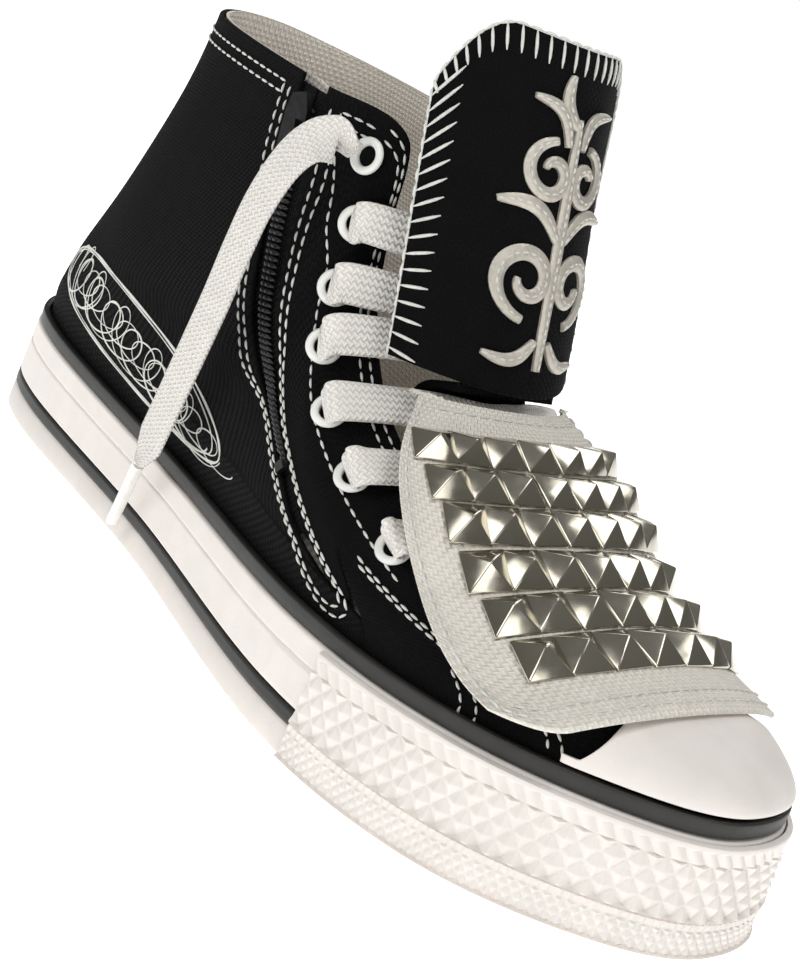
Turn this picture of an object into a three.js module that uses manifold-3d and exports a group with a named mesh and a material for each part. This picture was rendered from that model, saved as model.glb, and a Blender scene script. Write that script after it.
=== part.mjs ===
// A left platform high-top canvas shoe with a side zip, a tall tongue and a studded flap over the laces.
// Millimetres, +X towards the toe, +Y to the outer side of the foot, +Z up, origin under the middle of the sole.
import * as THREE from "three";
import { mergeVertices } from "three/addons/utils/BufferGeometryUtils.js";
import Module from "manifold-3d";

const wasm = await Module();
wasm.setup();

// ---------------------------------------------------------------- driving sizes
const GAP = 0.35; // clearance between pieces that touch
const SOLE_LENGTH = 284;
const HEEL_HALF = { medial: 31.5, lateral: 34 };
const WAIST_HALF = { medial: 36.5, lateral: 38.5 };
const BALL_HALF = 47.7;
const TOE_HALF = { medial: 42.2, lateral: 41.6 };

const TOE_SPRING = 7.4; // lift of the tread at the tip of the toe
const TOE_SPRING_START = 50;
const WALL_TOP = { heel: 28.1, waist: 23.7, ball: 25.7, toe: 32.3 };
const WALL_LEAN = 2.0; // how far the sole wall leans in from bottom to top
const WALL_THICKNESS = 2.4;
const BUMPER_THICKNESS = 1.4;
const BUMPER_START_X = 58;
const HEEL_FACE_INSET = 1.0; // how far the heel patch lies inside the outline
const OUTSOLE_SHARE = 0.27; // share of the wall height below the stripe
const STRIPE_SHARE = 0.41; // share of the wall height below the top of the stripe
const BAND_HEIGHT = 4.0;
const BAND_THICKNESS = 2.0;

const BOARD_THICKNESS = 1.7; // lasting board under the foot
const SOCK_THICKNESS = 3.0; // soft insole
const UPPER_SINK = 6.3; // how far the canvas runs down inside the wall
const CANVAS = 1.2;
const LINING = 0.8;
const STIFFENER = 0.6; // heel counter and toe puff
const PLY_GAP = 0.85; // clearance between the layers of the upper
const TOE_CAP_THICKNESS = 1.5;

const EYELET_OUTER = 8.4;
const EYELET_INNER = 4.6;
const EYELET_HOLE = 6.4;
const EYELET_STATIONS = [3.3, 3.4, 3.55, 3.8, 4.14, 4.48, 4.82];
const EYELET_RISES = [0.92, 0.82, 0.74, 0.7, 0.675, 0.65, 0.61];

const LACE_WIDTH = 9;
const LACE_THICKNESS = 1.5;

const ZIP_OPENING = 10; // gap between the canvas edges
const ZIP_TAPE_WIDTH = 10;
const ZIP_TAPE_THICKNESS = 0.8;
const COIL_WIDTH = 2.4;
const COIL_HEIGHT = 1.7;

const TONGUE_HALF = 28;
const TONGUE_SAG = 17;
const TONGUE_THICKNESS = 2.6;
const TONGUE_BASE_Z = 79.5;
const TONGUE_TOP_Z = 152;

const FLAP_THICKNESS = 1.4;
const STUD_HEIGHT = 3.8;
const STUD_PITCH = 9.7; // across the flap
const STUD_ROW_PITCH = 10.4; // down the flap
const STUD_COLUMNS = 7;
const STUD_ROWS = 6;

// ---------------------------------------------------------------- small helpers
const lerp = (a, b, s) => a + (b - a) * s;
const clamp = (x, low = 0, high = 1) => Math.min(high, Math.max(low, x));
const vec = (x, y, z) => new THREE.Vector3(x, y, z);

// A closed surface from any geometry: shared vertices merged, collapsed faces dropped, faces pointing out.
function closed(geometry) {
  geometry.deleteAttribute("uv");
  geometry.deleteAttribute("normal");
  const merged = mergeVertices(geometry, 1e-4);
  const position = merged.attributes.position;
  const faces = [];
  const [a, b, c] = [vec(), vec(), vec()];
  let volume = 0;
  for (let i = 0; i < merged.index.count; i += 3) {
    const [i0, i1, i2] = [0, 1, 2].map((k) => merged.index.getX(i + k));
    if (i0 === i1 || i1 === i2 || i0 === i2) continue;
    faces.push([i0, i1, i2]);
    a.fromBufferAttribute(position, i0);
    b.fromBufferAttribute(position, i1);
    c.fromBufferAttribute(position, i2);
    volume += a.dot(b.cross(c));
  }
  if (volume < 0) faces.forEach((face) => face.reverse());
  merged.setIndex(faces.flat());
  return merged;
}

// Moves every vertex of a geometry through a function of its place.
function mapVertices(geometry, place) {
  const position = geometry.attributes.position;
  const p = vec();
  for (let i = 0; i < position.count; i++) {
    p.fromBufferAttribute(position, i);
    const q = place(p, i);
    position.setXYZ(i, q.x, q.y, q.z);
  }
  return closed(geometry);
}

// A panel: a box of across x along cells, bent by place(a, b, c) with a, b and c from 0 to 1.
function panel(across, along, place, deep = 1) {
  const box = new THREE.BoxGeometry(1, 1, 1, across, along, deep);
  return mapVertices(box, (p) => place(p.x + 0.5, p.y + 0.5, p.z + 0.5));
}

// A band that goes right round: a turned profile of [u, v] points, bent by place(turn, u, v).
function loopBand(profile, steps, place) {
  const points = profile.map(([u, v]) => new THREE.Vector2(u, v));
  const lathe = new THREE.LatheGeometry(points, steps);
  return mapVertices(lathe, (p, i) => {
    const [u, v] = profile[i % profile.length];
    return place((Math.floor(i / profile.length) % steps) / steps, u, v);
  });
}

// The four corners of a closed section, for a band with flat sides.
const SECTION = [[1, 0], [2, 0], [2, 1], [1, 1], [1, 0]];

function asSolid(geometry) {
  return new wasm.Manifold(
    new wasm.Mesh({
      numProp: 3,
      vertProperties: Float32Array.from(geometry.attributes.position.array),
      triVerts: Uint32Array.from(geometry.index.array),
    }),
  );
}

function asGeometry(solid) {
  const mesh = solid.getMesh();
  return new THREE.BufferGeometry()
    .setAttribute("position", new THREE.BufferAttribute(mesh.vertProperties, 3))
    .setIndex(new THREE.BufferAttribute(mesh.triVerts, 1));
}

// A panel with holes cut through it; slivers that a cut leaves beside its main body are dropped.
function cut(geometry, cutters) {
  const whole = cutters.reduce((solid, cutter) => solid.subtract(asSolid(cutter)), asSolid(geometry));
  const bodies = whole.decompose().sort((a, b) => b.volume() - a.volume());
  return asGeometry(bodies[0]);
}

// A smooth curve of values through keys [where, ...values], closed with the given period or open.
function smoothKeys(keys, period = 0) {
  const count = keys.length;
  const key = (i) => {
    if (!period) return keys[Math.min(count - 1, Math.max(0, i))];
    const wrapped = keys[((i % count) + count) % count];
    return [wrapped[0] + period * Math.floor(i / count), ...wrapped.slice(1)];
  };
  const slope = (i, k) => {
    const [before, after] = [key(i - 1), key(i + 1)];
    return (after[k] - before[k]) / (after[0] - before[0]);
  };
  return (where) => {
    let x = period ? ((where % period) + period) % period : where;
    let i = 0;
    if (period && x < keys[0][0]) x += period;
    while (i < (period ? count - 1 : count - 2) && key(i + 1)[0] <= x) i++;
    const [from, to] = [key(i), key(i + 1)];
    const span = to[0] - from[0];
    const s = period ? (x - from[0]) / span : clamp((x - from[0]) / span);
    return from.slice(1).map((value, n) => {
      const [m0, m1] = [slope(i, n + 1) * span, slope(i + 1, n + 1) * span];
      const s2 = s * s;
      const s3 = s2 * s;
      return (2 * s3 - 3 * s2 + 1) * value + (s3 - 2 * s2 + s) * m0
        + (3 * s2 - 2 * s3) * to[n + 1] + (s3 - s2) * m1;
    });
  };
}

// ---------------------------------------------------------------- the sole's outline
// Stations run from the back of the heel (0) along the inner side to the toe (7) and back along the outer side.
const STATIONS = 14;
const half = SOLE_LENGTH / 2;
const outline = new THREE.CatmullRomCurve3(
  [
    [-half, 0], [-half + 10, -0.65 * HEEL_HALF.medial], [-half + 38, -HEEL_HALF.medial],
    [-half + 112, -WAIST_HALF.medial], [45, -BALL_HALF], [half - 47, -TOE_HALF.medial],
    [half - 14, -0.57 * TOE_HALF.medial], [half - 1, -4],
    [half - 8, 0.53 * TOE_HALF.lateral], [half - 42, TOE_HALF.lateral], [45, BALL_HALF],
    [-half + 112, WAIST_HALF.lateral], [-half + 38, HEEL_HALF.lateral],
    [-half + 10, 0.65 * HEEL_HALF.lateral],
  ].map(([x, y]) => vec(x, y, 0)),
  true,
  "catmullrom",
  0.5,
);
const outlineBox = new THREE.Box3().setFromPoints(outline.getPoints(280));
const outlineCentre = outlineBox.getCenter(vec());
outlineCentre.x += HEEL_FACE_INSET / 2;

// A point of the outline, moved in by inset.
function outlineAt(station, inset = 0) {
  const t = (((station / STATIONS) % 1) + 1) % 1;
  const p = outline.getPoint(t).sub(outlineCentre);
  const along = outline.getPoint((t + 0.002) % 1).sub(outline.getPoint((t + 0.998) % 1)).normalize();
  return vec(p.x - along.y * inset, p.y + along.x * inset, 0);
}

function treadZ(x) {
  const rise = clamp((x - TOE_SPRING_START) / (half - TOE_SPRING_START));
  return TOE_SPRING * rise * rise;
}

const wallTopKeys = smoothKeys([
  [-half - 5, WALL_TOP.heel], [-half + 20, WALL_TOP.heel - 1.2], [-40, WALL_TOP.waist],
  [60, WALL_TOP.ball], [half - 30, WALL_TOP.toe - 3], [half + 5, WALL_TOP.toe],
]);
const wallTopZ = (x) => wallTopKeys(x)[0];

// A point on the sole at a share of the wall's height.
function soleAt(station, inset, share, lift = 0) {
  const p = outlineAt(station, inset);
  return vec(p.x, p.y, lerp(treadZ(p.x), wallTopZ(p.x), share) + lift);
}

// The station on the inner or outer side whose outline is at x.
function stationAtX(x, low, high) {
  for (let i = 0; i < 40; i++) {
    const mid = (low + high) / 2;
    if ((outlineAt(mid).x < x) === (outlineAt(low).x < x)) low = mid;
    else high = mid;
  }
  return low;
}

// ---------------------------------------------------------------- the upper's surface
const FEATHER_INSET = BUMPER_THICKNESS + GAP + WALL_LEAN + WALL_THICKNESS + GAP;

// Keys of the opening's edge and the two handles that bend the surface between the sole and that edge:
// [station, edge x y z, handle above the sole x y z, handle below the edge x y z].
const innerSide = [
  [1, -87.5, -17, 128.5, -3, -3, 30, 0, -3, -58],
  [2, -65, -28, 127, 0, -5, 31, -8, -4, -50],
  [3, -19, -30, 124.5, 0, -5, 28, -2, -4, -44],
  [3.3, 1, -27, 124.2, -1, -5, 26, -2, -7, -40],
  [3.42, 6, -23, 120, -1, -5, 26, -4, -9, -38],
  [3.7, 8, -22, 102, -2, -5, 24, -6, -9, -26],
  [4, 13, -22, 84.5, -3, -5, 22, -8, -10, -15],
  [4.5, 29, -23, 67.5, -4, -4, 18, -5, -11, -9],
  [5, 51, -22.5, 57, -3, -3, 15, 2, -12, -6],
  [5.6, 67, -16, 52.5, -2, -2, 12, 12, -9, -4],
];
const mirrored = ([station, x, y, z, ax, ay, az, bx, by, bz]) =>
  [STATIONS - station, x, -y, z, ax, -ay, az, bx, -by, bz];
const upperKeys = smoothKeys(
  [
    [0, -93, 0, 129.4, -4, 0, 30, 4, 0, -62],
    ...innerSide,
    [7, 75, 0, 51, 1, -2, 12, 35, 0, -9.5],
    ...innerSide.map(mirrored).reverse(),
  ],
  STATIONS,
);

function upperCurve(station) {
  const [x, y, z, ax, ay, az, bx, by, bz] = upperKeys(station);
  const foot = outlineAt(station, FEATHER_INSET);
  foot.z = wallTopZ(foot.x) - UPPER_SINK;
  const edge = vec(x, y, z);
  return new THREE.CubicBezierCurve3(
    foot, foot.clone().add(vec(ax, ay, az)), edge.clone().add(vec(bx, by, bz)), edge,
  );
}

// The canvas stands upright behind the wall and its band, and takes its own shape above them.
const UPPER_EASE = 12;
function upperFace(station, rise) {
  const curve = upperCurve(station);
  const p = curve.getPoint(rise);
  const free = clamp((p.z - curve.v0.z - UPPER_SINK - BAND_HEIGHT - GAP) / UPPER_EASE);
  const ease = free * free * (3 - 2 * free);
  return vec(lerp(curve.v0.x, p.x, ease), lerp(curve.v0.y, p.y, ease), p.z);
}

// The outer face of the canvas at a station and a height share, moved out by offset.
function upperAt(station, rise, offset = 0) {
  const step = 0.01;
  const [low, high] = [Math.max(0, rise - step), Math.min(1, rise + step)];
  const around = upperFace(station + step, rise).sub(upperFace(station - step, rise));
  const up = upperFace(station, high).sub(upperFace(station, low));
  return upperFace(station, rise).addScaledVector(around.cross(up).normalize(), offset);
}

// The height share at which the surface has climbed by the given millimetres above the top of the wall.
function riseAbove(station, millimetres) {
  const curve = upperCurve(station);
  const goal = curve.v0.z + UPPER_SINK + millimetres;
  let [low, high] = [0, 0.6];
  for (let i = 0; i < 30; i++) {
    const mid = (low + high) / 2;
    if (curve.getPoint(mid).z < goal) low = mid;
    else high = mid;
  }
  return low;
}

// How many stations make one millimetre at a place on the surface.
function stationsPerMillimetre(station, rise) {
  const step = 0.02;
  return (2 * step) / upperAt(station + step, rise).distanceTo(upperAt(station - step, rise));
}

// The height share at which the surface, followed up from the sole, has come back to x.
function riseAtX(station, x) {
  const curve = upperCurve(station);
  let [low, high] = [0.1, 1];
  for (let i = 0; i < 30; i++) {
    const mid = (low + high) / 2;
    if (curve.getPoint(mid).x > x) low = mid;
    else high = mid;
  }
  return low;
}

// The zip's centre line: a station for each height share.
const zipKeys = smoothKeys([
  [0, 4.36], [0.2, 4.2], [0.3, 4.03], [0.4, 3.72], [0.45, 3.45], [0.54, 3.24], [0.69, 3.1], [0.89, 2.96], [1, 2.9],
]);
const zipStation = (rise) => zipKeys(rise)[0];
const ZIP_BOTTOM_RISE = 0.29;
const VAMP_STATION = 4.36; // where the vamp meets the rear quarter on the sole, inner side
const VAMP_END = 9.34; // and on the outer side

// A piece of the upper between two offsets, with its stations and height shares given over the piece.
function upperPanel(across, along, stationAt, riseAt, outer, inner) {
  return panel(across, along, (a, b, c) => {
    const rise = riseAt(a, b);
    return upperAt(stationAt(a, rise), rise, lerp(outer, inner, c));
  });
}

const INNER_LAYER = -(CANVAS + PLY_GAP); // outer face of what lies under the canvas
const LINING_FACE = INNER_LAYER - STIFFENER - PLY_GAP;

// ---------------------------------------------------------------- the assembly
const shoe = new THREE.Group();

const FINISHES = {
  rubber: { color: 0xece6e0, roughness: 0.55, metalness: 0 },
  blackRubber: { color: 0x20201c, roughness: 0.5, metalness: 0 },
  canvas: { color: 0x0a0a0a, roughness: 0.95, metalness: 0 },
  lining: { color: 0xeee6da, roughness: 0.95, metalness: 0 },
  board: { color: 0xb9a27c, roughness: 0.9, metalness: 0 },
  stiffener: { color: 0xc9bfae, roughness: 0.8, metalness: 0 },
  lace: { color: 0xece8e0, roughness: 0.95, metalness: 0 },
  aglet: { color: 0xf2f0ec, roughness: 0.3, metalness: 0 },
  eyelet: { color: 0xebebe6, roughness: 0.3, metalness: 0.2 },
  zip: { color: 0x0c0c0c, roughness: 0.5, metalness: 0 },
  slider: { color: 0x151515, roughness: 0.35, metalness: 0.6 },
  flap: { color: 0xe0dbcf, roughness: 0.95, metalness: 0 },
  stud: { color: 0x9a937c, roughness: 0.2, metalness: 1 },
  applique: { color: 0xb2aca2, roughness: 0.45, metalness: 0.2 },
};

function add(name, geometry, finish) {
  const mesh = new THREE.Mesh(geometry, new THREE.MeshStandardMaterial(FINISHES[finish]));
  mesh.name = name;
  shoe.add(mesh);
}

// ---------------------------------------------------------------- sole
const SOLE_STEPS = 48;
const wallFace = BUMPER_THICKNESS + GAP; // inset of the wall's outer face at the floor
const wallInner = wallFace + WALL_LEAN + WALL_THICKNESS;
const foamInset = wallInner + GAP;

function soleRing(low, high, outer, inner, lift = 0) {
  return loopBand(SECTION, SOLE_STEPS, (turn, u, v) => {
    const share = lerp(low, high, v);
    return soleAt(turn * STATIONS, u === 1 ? outer(share) : inner, share, lift);
  });
}

// A plate as broad as the outline less an inset, between two heights given as functions of x.
function solePlate(inset, bottom, top, topInset = inset, steps = 40) {
  const rings = [0, 0.5, 1];
  const profile = [...rings.map((r) => [r, 0]), ...rings.toReversed().map((r) => [r, 1])];
  return loopBand(profile, steps, (turn, r, v) => {
    const p = outlineAt(turn * STATIONS, v ? topInset : inset).multiplyScalar(r);
    return vec(p.x, p.y, v ? top(p.x) : bottom(p.x));
  });
}

const leaning = (share) => wallFace + WALL_LEAN * share;
const shareZ = (share) => (x) => lerp(treadZ(x), wallTopZ(x), share);
const boardTop = (x) => wallTopZ(x) - UPPER_SINK - GAP;

function addSole() {
  const gapShare = GAP / WALL_TOP.waist;
  add("outsole",
    solePlate(wallFace, treadZ, shareZ(OUTSOLE_SHARE - gapShare), leaning(OUTSOLE_SHARE), SOLE_STEPS), "rubber");
  add("foxing_stripe", soleRing(OUTSOLE_SHARE, STRIPE_SHARE - gapShare, leaning, wallInner), "blackRubber");
  add("foxing_wall", soleRing(STRIPE_SHARE, 1, leaning, wallInner), "rubber");
  add(
    "top_band",
    loopBand(SECTION, SOLE_STEPS, (turn, u, v) =>
      soleAt(turn * STATIONS, u === 1 ? wallInner - BAND_THICKNESS : wallInner, 1, lerp(GAP, BAND_HEIGHT, v))),
    "blackRubber",
  );
  add("midsole_core",
    solePlate(foamInset, shareZ(OUTSOLE_SHARE), (x) => boardTop(x) - BOARD_THICKNESS - GAP), "stiffener");
  add("lasting_board", solePlate(foamInset, (x) => boardTop(x) - BOARD_THICKNESS, boardTop), "board");
  const sockInset = FEATHER_INSET - LINING_FACE + LINING + 3 * GAP;
  add("sockliner",
    solePlate(sockInset, (x) => boardTop(x) + GAP, (x) => boardTop(x) + GAP + SOCK_THICKNESS), "lining");

  const bumperStart = stationAtX(BUMPER_START_X, 4.05, 5);
  const bumperEnd = stationAtX(BUMPER_START_X, 9.95, 9);
  add(
    "toe_bumper",
    panel(28, 2, (a, b, c) => {
      const share = lerp(0.01, 0.985, b);
      return soleAt(lerp(bumperStart, bumperEnd, a), WALL_LEAN * share + c * BUMPER_THICKNESS, share);
    }),
    "rubber",
  );
  add(
    "heel_patch",
    panel(8, 1, (a, b, c) => {
      const share = lerp(0.47, 0.93, b);
      const face = HEEL_FACE_INSET + WALL_LEAN * (share - 0.47);
      return soleAt(lerp(-0.5, 0.5, a), lerp(face, leaning(share) - GAP, c), share);
    }),
    "rubber",
  );
}

// ---------------------------------------------------------------- upper
const SEAM_RISE = 0.39; // height share of the seam between the quarters and the vamp
const eyelets = EYELET_STATIONS.map((station, row) => ({ row: row + 1, station, rise: EYELET_RISES[row] }));

// The part's own directions at a place on the canvas: out of it, up along it, and forward.
function upperFrame(station, rise) {
  const at = upperAt(station, rise);
  const out = upperAt(station, rise, 1).sub(at).normalize();
  const up = upperAt(station, rise + 0.01).sub(upperAt(station, rise - 0.01));
  up.addScaledVector(out, -up.dot(out)).normalize();
  return { at, out, up, forward: out.clone().cross(up) };
}

// A geometry made along its own Y, turned to stand out of the canvas.
function standing(geometry, frame, lift = 0) {
  const turn = new THREE.Matrix4().makeBasis(frame.forward, frame.out, frame.up.clone());
  if (turn.determinant() < 0) turn.makeBasis(frame.forward.clone().negate(), frame.out, frame.up);
  turn.setPosition(frame.at.clone().addScaledVector(frame.out, lift));
  return closed(geometry.applyMatrix4(turn));
}

const EYELET_SIDES = 10;
const sideStation = (station, side) => (side < 0 ? station : STATIONS - station);

function eyeletCutters(side) {
  return eyelets.map(({ station, rise }) => {
    const hole = new THREE.CylinderGeometry(EYELET_HOLE / 2, EYELET_HOLE / 2, 12, EYELET_SIDES);
    return standing(hole, upperFrame(sideStation(station, side), rise));
  });
}

// The front edge of the quarters, from the seam with the vamp up to the bottom of the throat.
const quarterFront = (rise) => lerp(4.95, 5.5, clamp((rise - SEAM_RISE) / (1 - SEAM_RISE)));

const LINING_STEPS = 42;
const LINING_LEVELS = 8;

function addUpper() {
  const join = 0.012; // half a seam's clearance, in stations
  const zipHalf = (rise) => {
    const opened = clamp((rise - ZIP_BOTTOM_RISE + 0.04) / 0.04);
    return lerp(GAP / 2, ZIP_OPENING / 2, opened) * stationsPerMillimetre(zipStation(rise), rise);
  };
  const rearEdge = (rise) => {
    const beside = zipStation(rise) - zipHalf(rise);
    return rise < ZIP_BOTTOM_RISE - 0.04 ? VAMP_STATION - join : beside;
  };
  const rearRise = (a, b) => b;
  add("quarter_heel_medial",
    upperPanel(14, 8, (a, rise) => lerp(join, rearEdge(rise), a), rearRise, 0, -CANVAS), "canvas");

  const frontFoot = (a) => lerp(ZIP_BOTTOM_RISE - 0.025, SEAM_RISE, clamp((a - 0.17) / 0.28));
  const frontMedial = upperPanel(
    8, 7,
    (a, rise) => lerp(zipStation(rise) + zipHalf(rise), quarterFront(rise) - join, a),
    (a, b) => lerp(frontFoot(a) + 0.014, 1, b), 0, -CANVAS,
  );
  add("quarter_front_medial", cut(frontMedial, eyeletCutters(-1)), "canvas");

  const lateralFoot = (station) => SEAM_RISE * clamp((VAMP_END + 0.33 - station) / 0.3);
  const lateral = panel(20, 8, (a, b, c) => {
    const station = lerp(STATIONS - 4.95, STATIONS - join, a);
    const rise = lerp(lateralFoot(station) + 0.004 * (1 - b), 1, b);
    const front = STATIONS - quarterFront(rise) + join;
    return upperAt(lerp(front, STATIONS - join, a), rise, -c * CANVAS);
  });
  add("quarter_lateral", cut(lateral, eyeletCutters(1)), "canvas");

  const vampTop = (station) => {
    const fromToe = Math.abs(station - 7);
    const seam = SEAM_RISE - 0.012;
    if (fromToe > 7 - 4.95) return seam;
    const climb = clamp((7 - 4.95 - fromToe) / (5.5 - 4.95));
    return lerp(seam, 0.995, climb);
  };
  add("vamp",
    panel(30, 6, (a, b, c) => {
      const station = lerp(VAMP_STATION + join, VAMP_END, a);
      return upperAt(station, b * (vampTop(station) - 0.028), -c * CANVAS);
    }), "canvas");

  const liningTop = smoothKeys([
    [0, 1], [2.8, 1], [3.2, 0.9], [3.7, 0.62], [4.4, 0.5], [5, 0.46], [5.6, 0.66], [7, 0.8],
    [8.4, 0.66], [9, 0.46], [9.6, 0.5], [10.3, 0.62], [10.8, 0.9], [11.2, 1],
  ], STATIONS);
  const levels = [...Array(LINING_LEVELS + 1).keys()].map((i) => i / LINING_LEVELS);
  const liningSection = [...levels.map((v) => [1, v]), ...levels.toReversed().map((v) => [2, v]), [1, 0]];
  add("lining",
    loopBand(liningSection, LINING_STEPS, (turn, u, v) => {
      const station = turn * STATIONS;
      const rise = clamp(lerp(0.01, liningTop(station)[0], v));
      const side = Math.min(station, STATIONS - station);
      const looser = 2 * clamp((side - 2.2) / 0.6) * clamp((5.4 - side) / 0.6);
      return upperAt(station, rise, LINING_FACE - looser * v - (u === 1 ? 0 : LINING));
    }), "lining");
  add("heel_counter",
    upperPanel(14, 4, (a) => lerp(-1.1, 1.1, a), (a, b) => lerp(0.02, 0.32 - 0.12 * (2 * a - 1) ** 2, b),
      INNER_LAYER - GAP, INNER_LAYER - GAP - STIFFENER), "stiffener");
  add("toe_puff",
    upperPanel(12, 4, (a) => lerp(5.7, 8.3, a), (a, b) => lerp(0.02, 0.5 - 0.2 * (2 * a - 1) ** 2, b),
      INNER_LAYER, INNER_LAYER - STIFFENER), "stiffener");
  add("backstay",
    upperPanel(4, 8, (a) => lerp(-0.3, 0.3, a), (a, b) => lerp(riseAbove(0, BAND_HEIGHT + 2 * GAP), 0.99, b),
      2 * GAP + 0.9, 2 * GAP), "canvas");
  const capRear = 103;
  add("toe_cap",
    panel(16, 4, (a, b, c) => {
      const station = lerp(5.5, 8.5, a);
      const low = riseAbove(station, BAND_HEIGHT + GAP + 0.4);
      const high = Math.max(riseAtX(station, capRear), low + 0.03);
      return upperAt(station, lerp(low, high, b), PLY_GAP + (1 - c) * TOE_CAP_THICKNESS);
    }), "rubber");
}

// ---------------------------------------------------------------- eyelets and zip
function addEyelets() {
  const [rim, hole] = [EYELET_OUTER / 2, EYELET_INNER / 2];
  const barrel = EYELET_HOLE / 2 - GAP;
  const [seat, crown] = [0.6, 1.3];
  const profile = [[hole, -CANVAS], [barrel, -CANVAS], [barrel, seat], [rim, seat], [rim - 0.6, crown], [hole, crown], [hole, -CANVAS]];
  for (const side of [-1, 1])
    for (const { row, station, rise } of eyelets) {
      const ring = new THREE.LatheGeometry(profile.map(([r, y]) => new THREE.Vector2(r, y)), EYELET_SIDES);
      const where = upperFrame(sideStation(station, side), rise);
      add(`eyelet_${side < 0 ? "medial" : "lateral"}_${row}`, standing(ring, where), "eyelet");
    }
}

// A strip beside the zip's centre line, from near to far millimetres on one side of it.
function zipStrip(side, near, far, outer, inner, bottom, top, steps) {
  return panel(1, steps, (a, b, c) => {
    const rise = lerp(bottom, top, b);
    const centre = zipStation(rise);
    const station = centre + side * lerp(near, far, a) * stationsPerMillimetre(centre, rise);
    return upperAt(station, rise, lerp(outer, inner, c));
  });
}

const SLIDER_RISE = 0.93;
function addZip() {
  for (const [side, word] of [[1, "front"], [-1, "rear"]]) {
    add(`zip_tape_${word}`,
      zipStrip(side, 0.5, 0.5 + ZIP_TAPE_WIDTH, INNER_LAYER, INNER_LAYER - ZIP_TAPE_THICKNESS, 0.3, 0.985, 12), "zip");
    add(`zip_coil_${word}`,
      zipStrip(side, GAP / 2, GAP / 2 + COIL_WIDTH, INNER_LAYER + PLY_GAP / 2 + COIL_HEIGHT, INNER_LAYER + PLY_GAP / 2, 0.41, 0.95, 14), "zip");
  }
  const slider = zipTrack();
  const plate = new THREE.Shape([[-3.6, -5], [3.6, -5], [4, 1], [2.4, 5.5], [-2.4, 5.5], [-4, 1]].map(([x, y]) => new THREE.Vector2(x, y)));
  const body = new THREE.ExtrudeGeometry(plate, { depth: 1.6, bevelEnabled: false });
  add("zip_slider", onTrack(body, slider, 0, 0.9), "slider");
  const tab = new THREE.Shape();
  tab.moveTo(-2.2, 0);
  tab.lineTo(2.2, 0);
  tab.lineTo(2.8, -8);
  tab.absarc(0, -8, 2.8, 0, -Math.PI, true);
  tab.lineTo(-2.2, 0);
  const pull = new THREE.ExtrudeGeometry(tab, { depth: 1.1, bevelEnabled: false, curveSegments: 6 });
  add("zip_pull", onTrack(pull, slider, -1, 0.9 + 1.6 + GAP), "slider");
  const stopPlate = new THREE.BoxGeometry(2.6, 2.4, 1.2);
  const rise = 0.385;
  const stopFrame = upperFrame(zipStation(rise), rise);
  const frame = { at: stopFrame.at, out: stopFrame.out, up: zipDirection(rise) };
  add("zip_bottom_stop", onTrack(stopPlate, frame, 0, GAP + 0.6), "slider");
}

function zipPoint(rise) {
  return upperAt(zipStation(rise), rise);
}

function zipDirection(rise) {
  return zipPoint(rise + 0.02).sub(zipPoint(rise - 0.02)).normalize();
}

// The straight upper run of the zip: where the slider stands and which way is up along it.
function zipTrack() {
  const at = zipPoint(SLIDER_RISE);
  const low = zipPoint(0.56);
  const up = at.clone().sub(low).normalize();
  const out = upperFrame(zipStation(SLIDER_RISE), SLIDER_RISE).out;
  return { at, up, out };
}

// A flat piece drawn in X (across) and Y (up the track) and raised in Z, laid on the zip.
function onTrack(geometry, track, along, lift) {
  const up = track.up.clone();
  const out = track.out.clone().addScaledVector(up, -track.out.dot(up)).normalize();
  const across = up.clone().cross(out);
  const turn = new THREE.Matrix4().makeBasis(across, up, out);
  turn.setPosition(track.at.clone().addScaledVector(up, along).addScaledVector(out, lift));
  return closed(geometry.applyMatrix4(turn));
}

// ---------------------------------------------------------------- laces
// A flat ribbon along a curve. wide(b) gives the direction of its width, size(b) scales the width.
function ribbon(curve, steps, wide, width, thickness, size = () => 1) {
  return panel(1, steps, (a, b, c) => {
    const at = curve.getPoint(b);
    const along = curve.getTangent(b);
    const across = wide(b).clone().addScaledVector(along, -wide(b).dot(along)).normalize();
    const out = along.clone().cross(across);
    return at.addScaledVector(across, (a - 0.5) * width * size(b)).addScaledVector(out, (c - 0.5) * thickness);
  });
}

// How far forward and up the middle of each lace bar lies from its eyelets.
const BAR_REACH = { 2: [18, 2], 3: [18.5, 4], 4: [17.5, 8.5], 5: [15.5, 7.6], 6: [15, 7.8], 7: [9.5, 6.9] };

function addLaceBars() {
  const lift = 1.3 + GAP + LACE_THICKNESS / 2;
  for (const [row, [forward, up]] of Object.entries(BAR_REACH)) {
    const { station, rise } = eyelets[row - 1];
    const ends = [-1, 1].map((side) => upperFrame(sideStation(station, side), rise));
    const path = [];
    for (const [n, side] of [[0, -1], [1, 1]]) {
      const { at, out } = ends[n];
      const half = [
        at.clone().addScaledVector(out, lift),
        vec(at.x + forward * 0.28, at.y - side * 3 + out.y * 6.4, at.z + up * 0.45 + 1),
        vec(at.x + forward * 0.62, side * 19.5, at.z + up * 0.8 + 0.6),
        vec(at.x + forward * 0.9, side * 9, at.z + up),
      ];
      path.push(...(side < 0 ? half : half.reverse()));
      if (side < 0) path.push(vec(at.x + forward, 0, at.z + up));
    }
    const before = upperAt(eyelets[row - 2].station, eyelets[row - 2].rise);
    const after = upperAt(station, rise);
    const wide = before.sub(after);
    wide.y = 0;
    const size = (b) => clamp(0.45 + 4.5 * Math.min(b, 1 - b), 0, 1);
    add(`lace_bar_${row}`,
      ribbon(new THREE.CatmullRomCurve3(path), 16, () => wide, LACE_WIDTH, LACE_THICKNESS, size), "lace");
  }
}

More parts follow.
